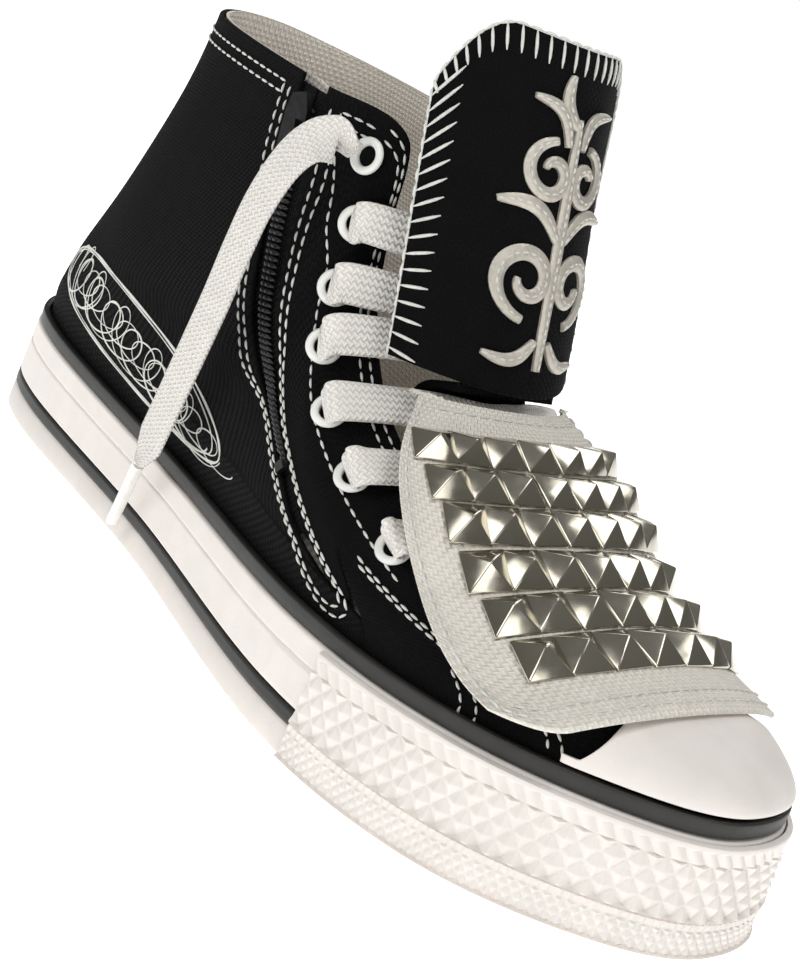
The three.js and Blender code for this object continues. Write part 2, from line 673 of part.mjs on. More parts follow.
// The free end of the lace on the inner side: from its eyelet, out, down over the zip to beside the sole.
const LACE_END = [
  [0.2, -32.4, 115], [-0.8, -37.5, 116], [-3.4, -41.5, 113.8], [-6.3, -43.8, 107.8], [-9.2, -45, 97.6],
  [-11.2, -45.2, 86.3], [-13, -45.1, 73.4], [-16.4, -44.3, 59.7], [-20.4, -43.2, 45.4], [-24.2, -42, 33.2],
  [-26.8, -41.2, 26],
];
const AGLET = [[-27.4, -41, 24.6], [-29.4, -40.4, 18.2], [-31.2, -39.8, 12.2], [-33, -39.2, 6.6]];

function addLaceEnds() {
  const sides = [[-1, "medial", 1], [1, "lateral", 1.03]];
  for (const [side, word, spread] of sides) {
    const place = ([x, y, z]) => vec(x, -side * y * spread, z);
    const path = new THREE.CatmullRomCurve3(LACE_END.map(place));
    const wide = (b) => path.getTangent(b).cross(vec(0, side, 0));
    const size = (b) => (b > 0.9 ? lerp(1, 0.34, (b - 0.9) / 0.1) : clamp(0.5 + 5 * b));
    add(`lace_end_${word}`, ribbon(path, 30, wide, LACE_WIDTH + 1.5, LACE_THICKNESS, size), "lace");
    const points = AGLET.map(place);
    const down = points.at(-1).clone().sub(points[0]);
    const tip = new THREE.CylinderGeometry(1.1, 1.5, down.length(), 8);
    tip.applyQuaternion(new THREE.Quaternion().setFromUnitVectors(vec(0, 1, 0), down.clone().normalize()));
    tip.translate(...points[0].clone().addScaledVector(down, 0.5).toArray());
    add(`aglet_${word}`, closed(tip), "aglet");
  }
}

// ---------------------------------------------------------------- tongue
const tongueMiddle = smoothKeys([[TONGUE_BASE_Z - 2, 45], [106, 37], [137, 28], [TONGUE_TOP_Z, 23.5]]);

// The front face of the standing tongue, a from -1 to 1 across and b from 0 to 1 up, moved out by offset.
function tongueAt(a, b, offset = 0) {
  const corner = clamp((Math.abs(a) - 0.55) / 0.45) ** 2.2;
  const z = lerp(TONGUE_BASE_Z, TONGUE_TOP_Z - 17 * corner, b);
  const y = TONGUE_HALF * a;
  const p = vec(tongueMiddle(z)[0] - TONGUE_SAG * a * a, y, z);
  const out = vec(1, (2 * TONGUE_SAG * a) / TONGUE_HALF, 0.28).normalize();
  return p.addScaledVector(out, offset);
}

const lowerTonguePath = new THREE.CatmullRomCurve3(
  [[74, 47], [62, 51], [50, 55.5], [38, 60], [28.5, 65], [26, 70.5], [29.5, 74.6], [38.5, 77]].map(([x, z]) => vec(x, 0, z)),
);

const LOWER_TONGUE_HALF = 15;

function addTongue() {
  add("tongue_lower",
    panel(4, 14, (a, b, c) => {
      const at = lowerTonguePath.getPoint(b);
      const out = lowerTonguePath.getTangent(b).cross(vec(0, 1, 0)).negate();
      const y = lerp(-1, 1, a);
      at.addScaledVector(out, -c * 1.6 - 2.5 * y * y * (1 - b));
      at.y = y * LOWER_TONGUE_HALF;
      return at;
    }), "canvas");
  add("tongue_upper",
    panel(12, 10, (a, b, c) => tongueAt(lerp(-1, 1, a), b, -c * TONGUE_THICKNESS)), "canvas");
  add("tongue_ornament",
    panel(5, 7, (a, b, c) => {
      const v = lerp(0.1, 0.84, b);
      const width = 0.34 + 0.2 * Math.sin(b * Math.PI * 2 - 0.6);
      return tongueAt(lerp(-1, 1, a) * width, v, GAP + (1 - c) * 0.9);
    }), "applique");
}

// ---------------------------------------------------------------- studded flap
// Keys down the flap: middle line x z, then edge x, half width and z.
const flapKeys = smoothKeys([
  [0, 43.8, 76.2, 35.5, 23, 75], [0.2, 54.5, 68.8, 46.5, 33, 66.4], [0.4, 68, 62.2, 57.8, 38, 57.8],
  [0.6, 83, 55.6, 71.5, 38.6, 46], [0.8, 99, 50.8, 89, 40.4, 39.2], [1, 117, 47.2, 109, 39.6, 37],
]);
const FLAP_BEND = 1.25;

// The outer face of the flap, a from -1 to 1 across and b from 0 to 1 down, moved out by offset.
function flapAt(a, b, offset = 0) {
  const face = (s, t) => {
    const [x, z, edgeX, width, edgeZ] = flapKeys(t);
    const bend = (1 - Math.cos(s * FLAP_BEND)) / (1 - Math.cos(FLAP_BEND));
    return vec(lerp(x, edgeX, bend), (width * Math.sin(s * FLAP_BEND)) / Math.sin(FLAP_BEND), lerp(z, edgeZ, bend));
  };
  const step = 0.01;
  const [b0, b1] = [Math.max(0, b - step), Math.min(1, b + step)];
  const out = face(a, b1).sub(face(a, b0)).cross(face(a + step, b).sub(face(a - step, b))).normalize();
  return face(a, b).addScaledVector(out, offset);
}

const FLAP_LENGTH = 82;
const STUD_TOP_MARGIN = 9.5;

function addFlap() {
  // The lower corners are rounded.
  const corner = (a) => 1 - 0.1 * clamp((Math.abs(a) - 0.7) / 0.3) ** 2;
  add("studded_flap",
    panel(16, 12, (a, b, c) => flapAt(lerp(-1, 1, a), b * corner(lerp(-1, 1, a)), -c * FLAP_THICKNESS)), "flap");
  for (let row = 1; row <= STUD_ROWS; row++) {
    const middle = (STUD_TOP_MARGIN + (row - 0.5) * STUD_ROW_PITCH) / FLAP_LENGTH;
    const halfRow = (0.47 * STUD_PITCH) / FLAP_LENGTH;
    const halfArc = flapAt(0, middle).distanceTo(flapAt(0.5, middle)) * 2.03;
    const reach = (STUD_COLUMNS * STUD_PITCH) / 2 / halfArc;
    const strip = panel(2 * STUD_COLUMNS, 2, (a, b, c) => {
      const peak = Math.round(a * 2 * STUD_COLUMNS) % 2 === 1 && b === 0.5;
      const height = c > 0.5 ? GAP : peak ? STUD_HEIGHT : GAP + 0.5;
      return flapAt(lerp(-reach, reach, a), middle + (b - 0.5) * 2 * halfRow, height);
    });
    add(`stud_row_${row}`, strip, "stud");
  }
}

addSole();
addUpper();
addEyelets();
addZip();
addLaceBars();
addLaceEnds();
addTongue();
addFlap();

export default shoe;
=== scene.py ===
"""Left platform high-top canvas shoe: its soft goods, rubber, hardware and finishes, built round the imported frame."""
import math

import bmesh
import bpy
import numpy as np
from mathutils import Matrix, Vector


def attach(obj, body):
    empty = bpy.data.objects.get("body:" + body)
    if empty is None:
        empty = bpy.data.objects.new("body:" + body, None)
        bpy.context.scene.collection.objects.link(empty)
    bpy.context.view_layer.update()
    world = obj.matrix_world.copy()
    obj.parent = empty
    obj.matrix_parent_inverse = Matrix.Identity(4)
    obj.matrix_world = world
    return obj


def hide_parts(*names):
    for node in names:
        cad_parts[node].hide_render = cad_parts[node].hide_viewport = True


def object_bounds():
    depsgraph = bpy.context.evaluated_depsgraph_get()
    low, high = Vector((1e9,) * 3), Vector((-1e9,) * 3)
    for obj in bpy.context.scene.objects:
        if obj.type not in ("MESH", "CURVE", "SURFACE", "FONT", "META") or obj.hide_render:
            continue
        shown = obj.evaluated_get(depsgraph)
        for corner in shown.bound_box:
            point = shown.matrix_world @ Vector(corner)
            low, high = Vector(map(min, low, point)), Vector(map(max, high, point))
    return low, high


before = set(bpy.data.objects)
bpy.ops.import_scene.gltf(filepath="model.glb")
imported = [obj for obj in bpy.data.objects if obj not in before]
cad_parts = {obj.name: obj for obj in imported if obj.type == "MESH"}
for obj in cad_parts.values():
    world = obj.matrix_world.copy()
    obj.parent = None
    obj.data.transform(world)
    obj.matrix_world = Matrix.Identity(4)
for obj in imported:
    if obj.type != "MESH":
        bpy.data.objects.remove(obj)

bl_info = {
    "name": "Platform High-top Shoe",
    "version": (1, 0, 0),
    "blender": (4, 5, 0),
    "location": "View3D > Sidebar > Shoe",
    "description": "Builds a left platform high-top with a side zip, a tall tongue and a studded flap",
    "category": "Add Mesh",
}

CAD_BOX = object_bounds()
MM = 0.001
UV_MM = 100.0  # millimetres in one unit of the surface's UV map

# ------------------------------------------------------------------ the maker's measures, in millimetres
GAP = 0.35
SOLE_LENGTH = 284.0
HEEL_HALF = (31.5, 34.0)  # inner side, outer side
WAIST_HALF = (36.5, 38.5)
BALL_HALF = 47.7
TOE_HALF = (42.2, 41.6)
TOE_SPRING = 7.4
TOE_SPRING_START = 50.0
WALL_TOP = {"heel": 28.1, "waist": 23.7, "ball": 25.7, "toe": 32.3}
WALL_LEAN = 2.0
WALL_THICKNESS = 2.4
BUMPER_THICKNESS = 1.4
BUMPER_START_X = 58.0
HEEL_FACE_INSET = 1.0
OUTSOLE_SHARE = 0.27
STRIPE_SHARE = 0.41
BAND_HEIGHT = 4.0
BAND_THICKNESS = 2.0
SOCK_THICKNESS = 3.0
UPPER_SINK = 6.3
CANVAS = 1.2
LINING = 0.8
STIFFENER = 0.6
PLY_GAP = 0.85
TOE_CAP_THICKNESS = 1.5
EYELET_HOLE = 6.4
EYELET_STATIONS = (3.3, 3.4, 3.55, 3.8, 4.14, 4.48, 4.82)
EYELET_RISES = (0.92, 0.82, 0.74, 0.7, 0.675, 0.65, 0.61)
ZIP_OPENING = 10.0
ZIP_TAPE_WIDTH = 10.0
COIL_WIDTH = 2.4
TONGUE_HALF = 28.0
TONGUE_SAG = 17.0
TONGUE_THICKNESS = 2.6
TONGUE_BASE_Z = 79.5
TONGUE_TOP_Z = 152.0
LOWER_TONGUE_HALF = 15.0
FLAP_THICKNESS = 1.4
FLAP_LENGTH = 82.0
FLAP_BEND = 1.25
STUD_TOP_MARGIN = 9.5
STUD_PITCH = 9.7
STUD_ROW_PITCH = 10.4
STUD_COLUMNS = 7
STUD_ROWS = 6

STATIONS = 14
FEATHER_INSET = BUMPER_THICKNESS + GAP + WALL_LEAN + WALL_THICKNESS + GAP
INNER_LAYER = -(CANVAS + PLY_GAP)
LINING_FACE = INNER_LAYER - STIFFENER - PLY_GAP
SEAM_RISE = 0.39
ZIP_BOTTOM_RISE = 0.29
VAMP_STATION = 4.36
VAMP_END = 9.34

# The free ends of the lace, from the top eyelet down to beside the sole; the outer side mirrors the inner one.
LACE_END = [
    (0.2, -32.4, 115), (-0.8, -37.5, 116), (-3.4, -41.5, 113.8), (-6.3, -43.8, 107.8), (-9.2, -45, 97.6),
    (-11.2, -45.2, 86.3), (-13, -45.1, 73.4), (-16.4, -44.3, 59.7), (-20.4, -43.2, 45.4), (-24.2, -42, 33.2),
    (-26.8, -41.2, 26),
]
AGLET = [(-27.4, -41, 24.6), (-29.4, -40.4, 18.2), (-31.2, -39.8, 12.2), (-33, -39.2, 6.6)]
OUTER_SPREAD = 1.03  # how much further out the outer lace end hangs
BAR_REACH = {2: (18, 2), 3: (18.5, 4), 4: (17.5, 8.5), 5: (15.5, 7.6), 6: (15, 7.8), 7: (9.5, 6.9)}


def linear(code):
    """An sRGB hex colour as linear red, green, blue and alpha."""
    parts = [int(code[i:i + 2], 16) / 255 for i in (1, 3, 5)]
    return tuple(p / 12.92 if p <= 0.04045 else ((p + 0.055) / 1.055) ** 2.4 for p in parts) + (1.0,)


# ------------------------------------------------------------------ sizes and colours a user may change
def length(name, description, millimetres):
    return bpy.props.FloatProperty(name=name, description=description, default=millimetres * MM, unit="LENGTH")


class ShoeSizes(bpy.types.PropertyGroup):
    """Sizes of the trim and the textures."""
    lace_width: length("Lace Width", "Width of the flat lace", 9)
    lace_thickness: length("Lace Thickness", "Thickness of the flat lace", 1.5)
    stitch_pitch: length("Stitch Pitch", "Distance from stitch to stitch", 3.1)
    thread_radius: length("Thread Radius", "Radius of the sewing thread", 0.3)
    diamond_pitch: length("Diamond Pitch", "Width of one raised diamond on the toe bumper", 4.8)
    stud_side: length("Stud Side", "Side of one square stud", 9.1)
    stud_height: length("Stud Height", "Height of one stud's peak", 4.3)
    eyelet_outer: length("Eyelet Diameter", "Outer diameter of an eyelet", 8.4)


def colour(name, code):
    return bpy.props.FloatVectorProperty(
        name=name, description=f"{name} of the shoe", subtype="COLOR", size=4, min=0, max=1, default=linear(code))


class ShoeColours(bpy.types.PropertyGroup):
    """Base colours of the finishes."""
    canvas: colour("Black Canvas", "#0b0b0c")
    rubber: colour("White Rubber", "#ece6e0")
    band: colour("Black Rubber", "#201f1c")
    lining: colour("Cotton Lining", "#eee6da")
    lace: colour("Lace", "#f4f0e9")
    flap: colour("Cream Canvas", "#f0ebe0")
    stud: colour("Nickel", "#b5b0a2")
    applique: colour("Applique", "#c4beb3")
    thread: colour("Thread", "#dcdcd6")
    eyelet: colour("Eyelet Enamel", "#ebebe6")


# ------------------------------------------------------------------ surfaces, worked out on whole arrays of places
def unit(v):
    return v / np.linalg.norm(v, axis=-1, keepdims=True)


def keyed(keys, period=0):
    """A smooth curve of values through keys (where, values...), closed with the given period or open."""
    table = np.array(keys, float)
    where, values = table[:, 0], table[:, 1:]
    if period:
        where = np.concatenate([where[-2:] - period, where, where[:2] + period])
        values = np.concatenate([values[-2:], values, values[:2]])
    slopes = np.empty_like(values)
    slopes[1:-1] = (values[2:] - values[:-2]) / (where[2:] - where[:-2])[:, None]
    slopes[0] = (values[1] - values[0]) / (where[1] - where[0])
    slopes[-1] = (values[-1] - values[-2]) / (where[-1] - where[-2])

    def at(x):
        x = np.asarray(x, float)
        if period:
            x = x % period
        i = np.clip(np.searchsorted(where, x, side="right") - 1, 0, len(where) - 2)
        span = where[i + 1] - where[i]
        s = ((x - where[i]) / span)[..., None]
        if not period:
            s = np.clip(s, 0, 1)
        span = span[..., None]
        return ((2 * s**3 - 3 * s**2 + 1) * values[i] + (s**3 - 2 * s**2 + s) * slopes[i] * span
                + (3 * s**2 - 2 * s**3) * values[i + 1] + (s**3 - s**2) * slopes[i + 1] * span)

    return at


def smooth(points):
    """A curve through points, evenly keyed, for values from 0 to 1."""
    points = np.asarray(points, float)
    return keyed(np.column_stack([np.linspace(0, 1, len(points)), points]))


HALF = SOLE_LENGTH / 2
outline_points = [
    (-HALF, 0), (-HALF + 10, -0.65 * HEEL_HALF[0]), (-HALF + 38, -HEEL_HALF[0]), (-HALF + 112, -WAIST_HALF[0]),
    (45, -BALL_HALF), (HALF - 47, -TOE_HALF[0]), (HALF - 14, -0.57 * TOE_HALF[0]), (HALF - 1, -4),
    (HALF - 8, 0.53 * TOE_HALF[1]), (HALF - 42, TOE_HALF[1]), (45, BALL_HALF), (-HALF + 112, WAIST_HALF[1]),
    (-HALF + 38, HEEL_HALF[1]), (-HALF + 10, 0.65 * HEEL_HALF[1]),
]
outline = keyed([(i, *p) for i, p in enumerate(outline_points)], STATIONS)
around = outline(np.linspace(0, STATIONS, 281))
outline_centre = (around.min(0) + around.max(0)) / 2 + np.array([HEEL_FACE_INSET / 2, 0])


def outline_at(station, inset=0.0):
    station, inset = np.broadcast_arrays(np.asarray(station, float), np.asarray(inset, float))
    along = unit(outline(station + 0.028) - outline(station - 0.028))
    across = np.stack([-along[..., 1], along[..., 0]], -1)
    return outline(station) - outline_centre + across * inset[..., None]


def tread_z(x):
    rise = np.clip((x - TOE_SPRING_START) / (HALF - TOE_SPRING_START), 0, 1)
    return TOE_SPRING * rise * rise


wall_keys = keyed([
    (-HALF - 5, WALL_TOP["heel"]), (-HALF + 20, WALL_TOP["heel"] - 1.2), (-40, WALL_TOP["waist"]),
    (60, WALL_TOP["ball"]), (HALF - 30, WALL_TOP["toe"] - 3), (HALF + 5, WALL_TOP["toe"]),
])


def wall_top_z(x):
    return wall_keys(x)[..., 0]


def sole_at(station, inset, share, lift=0.0):
    """A point on the sole at a share of the wall's height."""
    p = outline_at(station, inset)
    low, high = tread_z(p[..., 0]), wall_top_z(p[..., 0])
    return np.concatenate([p, (low + (high - low) * share + lift)[..., None]], -1)


def station_at_x(x, low, high):
    for _ in range(40):
        mid = (low + high) / 2
        if (outline_at(mid)[0] < x) == (outline_at(low)[0] < x):
            low = mid
        else:
            high = mid
    return low


# Keys of the opening's edge and of the two handles that bend the canvas between the sole and that edge:
# station, edge x y z, handle above the sole x y z, handle below the edge x y z.
INNER_SIDE = [
    (1, -87.5, -17, 128.5, -3, -3, 30, 0, -3, -58),
    (2, -65, -28, 127, 0, -5, 31, -8, -4, -50),
    (3, -19, -30, 124.5, 0, -5, 28, -2, -4, -44),
    (3.3, 1, -27, 124.2, -1, -5, 26, -2, -7, -40),
    (3.42, 6, -23, 120, -1, -5, 26, -4, -9, -38),
    (3.7, 8, -22, 102, -2, -5, 24, -6, -9, -26),
    (4, 13, -22, 84.5, -3, -5, 22, -8, -10, -15),
    (4.5, 29, -23, 67.5, -4, -4, 18, -5, -11, -9),
    (5, 51, -22.5, 57, -3, -3, 15, 2, -12, -6),
    (5.6, 67, -16, 52.5, -2, -2, 12, 12, -9, -4),
]
MIRROR = np.array([-1, 1, -1, 1, 1, -1, 1, 1, -1, 1])
outer_side = [tuple(np.array(key) * MIRROR + np.eye(10)[0] * STATIONS) for key in reversed(INNER_SIDE)]
upper_keys = keyed(
    [(0, -93, 0, 129.4, -4, 0, 30, 4, 0, -62), *INNER_SIDE, (7, 75, 0, 51, 1, -2, 12, 35, 0, -9.5), *outer_side],
    STATIONS)
UPPER_EASE = 12.0


def upper_curve(station):
    """The four control points of the canvas's meridian at a station."""
    key = upper_keys(station)
    foot = outline_at(station, FEATHER_INSET)
    foot = np.concatenate([foot, (wall_top_z(foot[..., 0]) - UPPER_SINK)[..., None]], -1)
    edge = key[..., 0:3]
    return foot, foot + key[..., 3:6], edge + key[..., 6:9], edge


def bezier(curve, t):
    a, b, c, d = curve
    t = np.asarray(t, float)[..., None]
    return (1 - t)**3 * a + 3 * (1 - t)**2 * t * b + 3 * (1 - t) * t**2 * c + t**3 * d


def upper_face(station, rise):
    station, rise = np.broadcast_arrays(np.asarray(station, float), np.asarray(rise, float))
    curve = upper_curve(station)
    p = bezier(curve, rise)
    foot = curve[0]
    free = np.clip((p[..., 2] - foot[..., 2] - UPPER_SINK - BAND_HEIGHT - GAP) / UPPER_EASE, 0, 1)
    ease = (free * free * (3 - 2 * free))[..., None]
    flat = foot[..., :2] + (p[..., :2] - foot[..., :2]) * ease
    return np.concatenate([flat, p[..., 2:]], -1)


def upper_normal(station, rise):
    step = 0.01
    low, high = np.maximum(0, np.asarray(rise) - step), np.minimum(1, np.asarray(rise) + step)
    ahead = upper_face(station + step, rise) - upper_face(station - step, rise)
    return unit(np.cross(ahead, upper_face(station, high) - upper_face(station, low)))


def upper_at(station, rise, offset=0.0):
    """The outer face of the canvas at a station and a height share, moved out by offset."""
    station, rise, offset = np.broadcast_arrays(*(np.asarray(v, float) for v in (station, rise, offset)))
    return upper_face(station, rise) + upper_normal(station, rise) * offset[..., None]


def stations_per_mm(station, rise):
    step = 0.02
    span = upper_face(station + step, rise) - upper_face(station - step, rise)
    return 2 * step / np.linalg.norm(span, axis=-1)


def rises_per_mm(station, rise):
    step = 0.01
    span = upper_face(station, rise + step) - upper_face(station, rise - step)
    return 2 * step / np.linalg.norm(span, axis=-1)


def rise_where(station, passed, low=0.0, high=1.0):
    """The height share at each station below which passed(point, curve) is true."""
    station = np.asarray(station, float)
    curve = upper_curve(station)
    low, high = np.full(station.shape, low), np.full(station.shape, high)
    for _ in range(30):
        mid = (low + high) / 2
        ok = passed(bezier(curve, mid), curve)
        low, high = np.where(ok, mid, low), np.where(ok, high, mid)
    return low


def rise_above(station, millimetres):
    return rise_where(station, lambda p, c: p[..., 2] < c[0][..., 2] + UPPER_SINK + millimetres, 0.0, 0.6)


def rise_at_x(station, x):
    return rise_where(station, lambda p, c: p[..., 0] > x, 0.1, 1.0)


zip_keys = keyed([
    (0, 4.36), (0.2, 4.2), (0.3, 4.03), (0.4, 3.72), (0.45, 3.45), (0.54, 3.24), (0.69, 3.1), (0.89, 2.96), (1, 2.9),
])


def on_side(side, station):
    """A station of the inner side (-1), or its mirror image on the outer side (1)."""
    return station if side < 0 else STATIONS - station


def zip_station(rise):
    return zip_keys(rise)[..., 0]


def upper_frame(station, rise):
    """Place, outward and upward directions on the canvas."""
    at, out = upper_at(station, rise), upper_normal(station, rise)
    up = upper_face(station, rise + 0.01) - upper_face(station, rise - 0.01)
    return at, out, unit(up - out * np.sum(up * out, -1, keepdims=True))


tongue_middle = keyed([(TONGUE_BASE_Z - 2, 45), (106, 37), (137, 28), (TONGUE_TOP_Z, 23.5)])


def tongue_at(a, b, offset=0.0):
    """The front face of the tongue, a from -1 to 1 across and b from 0 to 1 up."""
    a, b, offset = np.broadcast_arrays(*(np.asarray(v, float) for v in (a, b, offset)))
    corner = np.clip((np.abs(a) - 0.55) / 0.45, 0, 1)**2.2
    z = TONGUE_BASE_Z + (TONGUE_TOP_Z - 17 * corner - TONGUE_BASE_Z) * b
    p = np.stack([tongue_middle(z)[..., 0] - TONGUE_SAG * a * a, TONGUE_HALF * a, z], -1)
    out = unit(np.stack([np.ones_like(a), 2 * TONGUE_SAG * a / TONGUE_HALF, np.full_like(a, 0.28)], -1))
    return p + out * offset[..., None]


flap_keys = keyed([
    (0, 43.8, 76.2, 35.5, 23, 75), (0.2, 54.5, 68.8, 46.5, 33, 66.4), (0.4, 68, 62.2, 57.8, 38, 57.8),
    (0.6, 83, 55.6, 71.5, 38.6, 46), (0.8, 99, 50.8, 89, 40.4, 39.2), (1, 117, 47.2, 109, 39.6, 37),
])


def flap_face(a, b):
    x, z, edge_x, width, edge_z = np.moveaxis(flap_keys(b), -1, 0)
    bend = (1 - np.cos(a * FLAP_BEND)) / (1 - math.cos(FLAP_BEND))
    y = width * np.sin(a * FLAP_BEND) / math.sin(FLAP_BEND)
    return np.stack([x + (edge_x - x) * bend, y, z + (edge_z - z) * bend], -1)


def flap_normal(a, b):
    step = 0.01
    low, high = np.maximum(0, b - step), np.minimum(1, b + step)
    down = flap_face(a, high) - flap_face(a, low)
    return unit(np.cross(down, flap_face(a + step, b) - flap_face(a - step, b)))


def flap_at(a, b, offset=0.0):
    """The outer face of the flap, a from -1 to 1 across and b from 0 to 1 down."""
    a, b, offset = np.broadcast_arrays(*(np.asarray(v, float) for v in (a, b, offset)))
    return flap_face(a, b) + flap_normal(a, b) * offset[..., None]


# ------------------------------------------------------------------ mesh making
def mesh_object(name, points, corners, material, corner_uv=None, sharp=40):
    """A smooth-shaded object from points in millimetres and lists of corner indices."""
    mesh = bpy.data.meshes.new(name)
    mesh.from_pydata((np.asarray(points, float).reshape(-1, 3) * MM).tolist(), [], [list(f) for f in corners])
    if corner_uv is not None:
        layer = mesh.uv_layers.new(name="millimetres")
        layer.data.foreach_set("uv", (np.asarray(corner_uv, np.float32) / UV_MM).ravel())
    shape = bmesh.new()
    shape.from_mesh(mesh)
    bmesh.ops.remove_doubles(shape, verts=shape.verts, dist=1e-6)
    bmesh.ops.dissolve_degenerate(shape, edges=shape.edges, dist=1e-7)
    if shape.calc_volume(signed=True) < 0:
        bmesh.ops.reverse_faces(shape, faces=shape.faces)
    shape.to_mesh(mesh)
    shape.free()
    mesh.shade_smooth()
    mesh.set_sharp_from_angle(angle=math.radians(sharp))
    mesh.materials.append(material)
    made = bpy.data.objects.new(name, mesh)
    bpy.context.scene.collection.objects.link(made)
    return made


def spread(points):
    """Distances in millimetres along the columns and along the rows of a grid of points."""
    across = np.linalg.norm(np.diff(points, axis=1), axis=-1).mean(0)
    along = np.linalg.norm(np.diff(points, axis=0), axis=-1).mean(1)
    u, v = np.concatenate([[0], np.cumsum(across)]), np.concatenate([[0], np.cumsum(along)])
    return np.stack(np.meshgrid(u, v), -1)


def quads(rows, cols, wrap_rows=False, wrap_cols=False):
    """Corner indices of a grid's cells, wrapped where asked, and the same cells on an unwrapped grid."""
    r, c = np.meshgrid(np.arange(rows if wrap_rows else rows - 1), np.arange(cols if wrap_cols else cols - 1),
                       indexing="ij")
    r, c = r.ravel(), c.ravel()
    ring = [(r, c), (r, c + 1), (r + 1, c + 1), (r + 1, c)]
    cells = np.stack([(i % rows) * cols + j % cols for i, j in ring], -1)
    wide = cols + 1 if wrap_cols else cols
    plain = np.stack([i * wide + j for i, j in ring], -1)
    return cells, plain


def closed_grid(points, wrap_rows, wrap_cols):
    """The points with their first row or column repeated at the end, to measure a closed grid."""
    if wrap_rows:
        points = np.concatenate([points, points[:1]], 0)
    if wrap_cols:
        points = np.concatenate([points, points[:, :1]], 1)
    return points


def ring_faces(points, wrap_cols=False, first=0):
    """Corner indices and UV of a grid closed over its rows; where its columns are open, each end gets one face."""
    rows, cols = points.shape[:2]
    cells, plain = quads(rows, cols, True, wrap_cols)
    uv = spread(closed_grid(points, True, wrap_cols)).reshape(-1, 2)[plain].reshape(-1, 2)
    faces = (cells + first).tolist()
    if not wrap_cols:
        faces += [[first + r * cols for r in range(rows)],
                  [first + r * cols + cols - 1 for r in reversed(range(rows))]]
        uv = np.concatenate([uv, np.zeros((2 * rows, 2))])
    return faces, uv


def loop_grid(name, points, material, wrap_cols=True, sharp=40):
    """A closed tube or ring of points."""
    faces, uv = ring_faces(points, wrap_cols)
    return mesh_object(name, points, faces, material, uv, sharp)


def strips(name, grids, material, mapped=True):
    """Several tubes of points as one object."""
    points, corners, uv = [], [], []
    for grid in grids:
        faces, places = ring_faces(grid, first=sum(len(p) for p in points))
        corners += faces
        uv.append(places)
        points.append(grid.reshape(-1, 3))
    return mesh_object(name, np.concatenate(points), corners, material, np.concatenate(uv) if mapped else None)


def shell(name, front, back, material, wrap=False, sharp=40):
    """A closed sheet between two grids of points."""
    rows, cols = front.shape[:2]
    both = np.concatenate([front, back[::-1]], 0)
    cells, plain = quads(2 * rows, cols, True, wrap)
    uv = spread(closed_grid(both, True, wrap)).reshape(-1, 2)[plain].reshape(-1, 2)
    faces = [tuple(f) for f in cells.tolist()]
    if not wrap:
        ends = []
        for c in (0, cols - 1):
            for r in range(rows - 1):
                low, high = r * cols + c, (r + 1) * cols + c
                under, over = (2 * rows - 1 - r) * cols + c, (2 * rows - 2 - r) * cols + c
                ends.append((low, high, over, under) if c == 0 else (high, low, under, over))
        faces += ends
        uv = np.concatenate([uv, np.zeros((4 * len(ends), 2))])
    return mesh_object(name, both, faces, material, uv, sharp)


def rounded(a, b, width, length, radius):
    """How far a sheet's face falls from 1 to 0 over its border, for a and b from 0 to 1."""
    inward = np.minimum(np.minimum(a, 1 - a) * width, np.minimum(b, 1 - b) * length)
    near = np.clip(1 - inward / radius, 0, 1)
    return np.sqrt(np.clip(1 - near**2, 0, 1))


def sheet_panel(name, place, cols, rows, outer, inner, material, border=0.0, relief=None):
    """A sheet bent by place(a, b, offset), with its border rounded over a width in millimetres."""
    a, b = np.meshgrid(np.linspace(0, 1, cols), np.linspace(0, 1, rows))
    if border:
        size = spread(place(a, b, 0 * a))[-1, -1]
        a, b = edge_dense(a, border / size[0]), edge_dense(b, border / size[1])
        full = rounded(a, b, size[0], size[1], border)
    else:
        full = np.ones_like(a)
    middle = (outer + inner) / 2
    top = middle + (outer - middle) * (0.25 + 0.75 * full) + (relief(a, b) if relief else 0)
    return shell(name, place(a, b, top), place(a, b, middle + (inner - middle) * (0.25 + 0.75 * full)), material)


def edge_dense(t, edge):
    """Spacing from 0 to 1 that gives its first and last few steps to the border."""
    steps = 4
    count = t.shape[1] if np.ptp(t[0]) else t.shape[0]
    inner = np.linspace(edge, 1 - edge, count - 2 * steps)
    low = edge * (1 - np.cos(np.linspace(0, math.pi / 2, steps + 1)[:-1]))
    line = np.concatenate([low, inner, 1 - low[::-1]])
    return np.broadcast_to(line, t.shape) if np.ptp(t[0]) else np.broadcast_to(line[:, None], t.shape)


def ribbon(name, curve, wide, width, thickness, material, steps=120, sides=16, size=None, power=0.45):
    """A flat woven tape along a curve from 0 to 1; wide gives the direction of its width."""
    t = np.linspace(0, 1, steps)
    at = curve(t)
    along = unit(np.gradient(at, axis=0))
    across = wide(t)
    across = unit(across - along * np.sum(across * along, -1, keepdims=True))
    out = np.cross(along, across)
    turn = np.linspace(0, 2 * math.pi, sides, endpoint=False)
    flat, deep = np.cos(turn), np.sin(turn)
    flat, deep = np.sign(flat) * np.abs(flat)**0.6, np.sign(deep) * np.abs(deep)**power
    scale = size(t) if size else np.ones_like(t)
    swell = 0.5 * thickness * (1 + 0.7 * (1 - scale))
    section = (at[None] + across[None] * (flat[:, None] * 0.5 * width * scale[None])[..., None]
               + out[None] * (deep[:, None] * swell[None])[..., None])
    return loop_grid(name, section, material, wrap_cols=False, sharp=60)


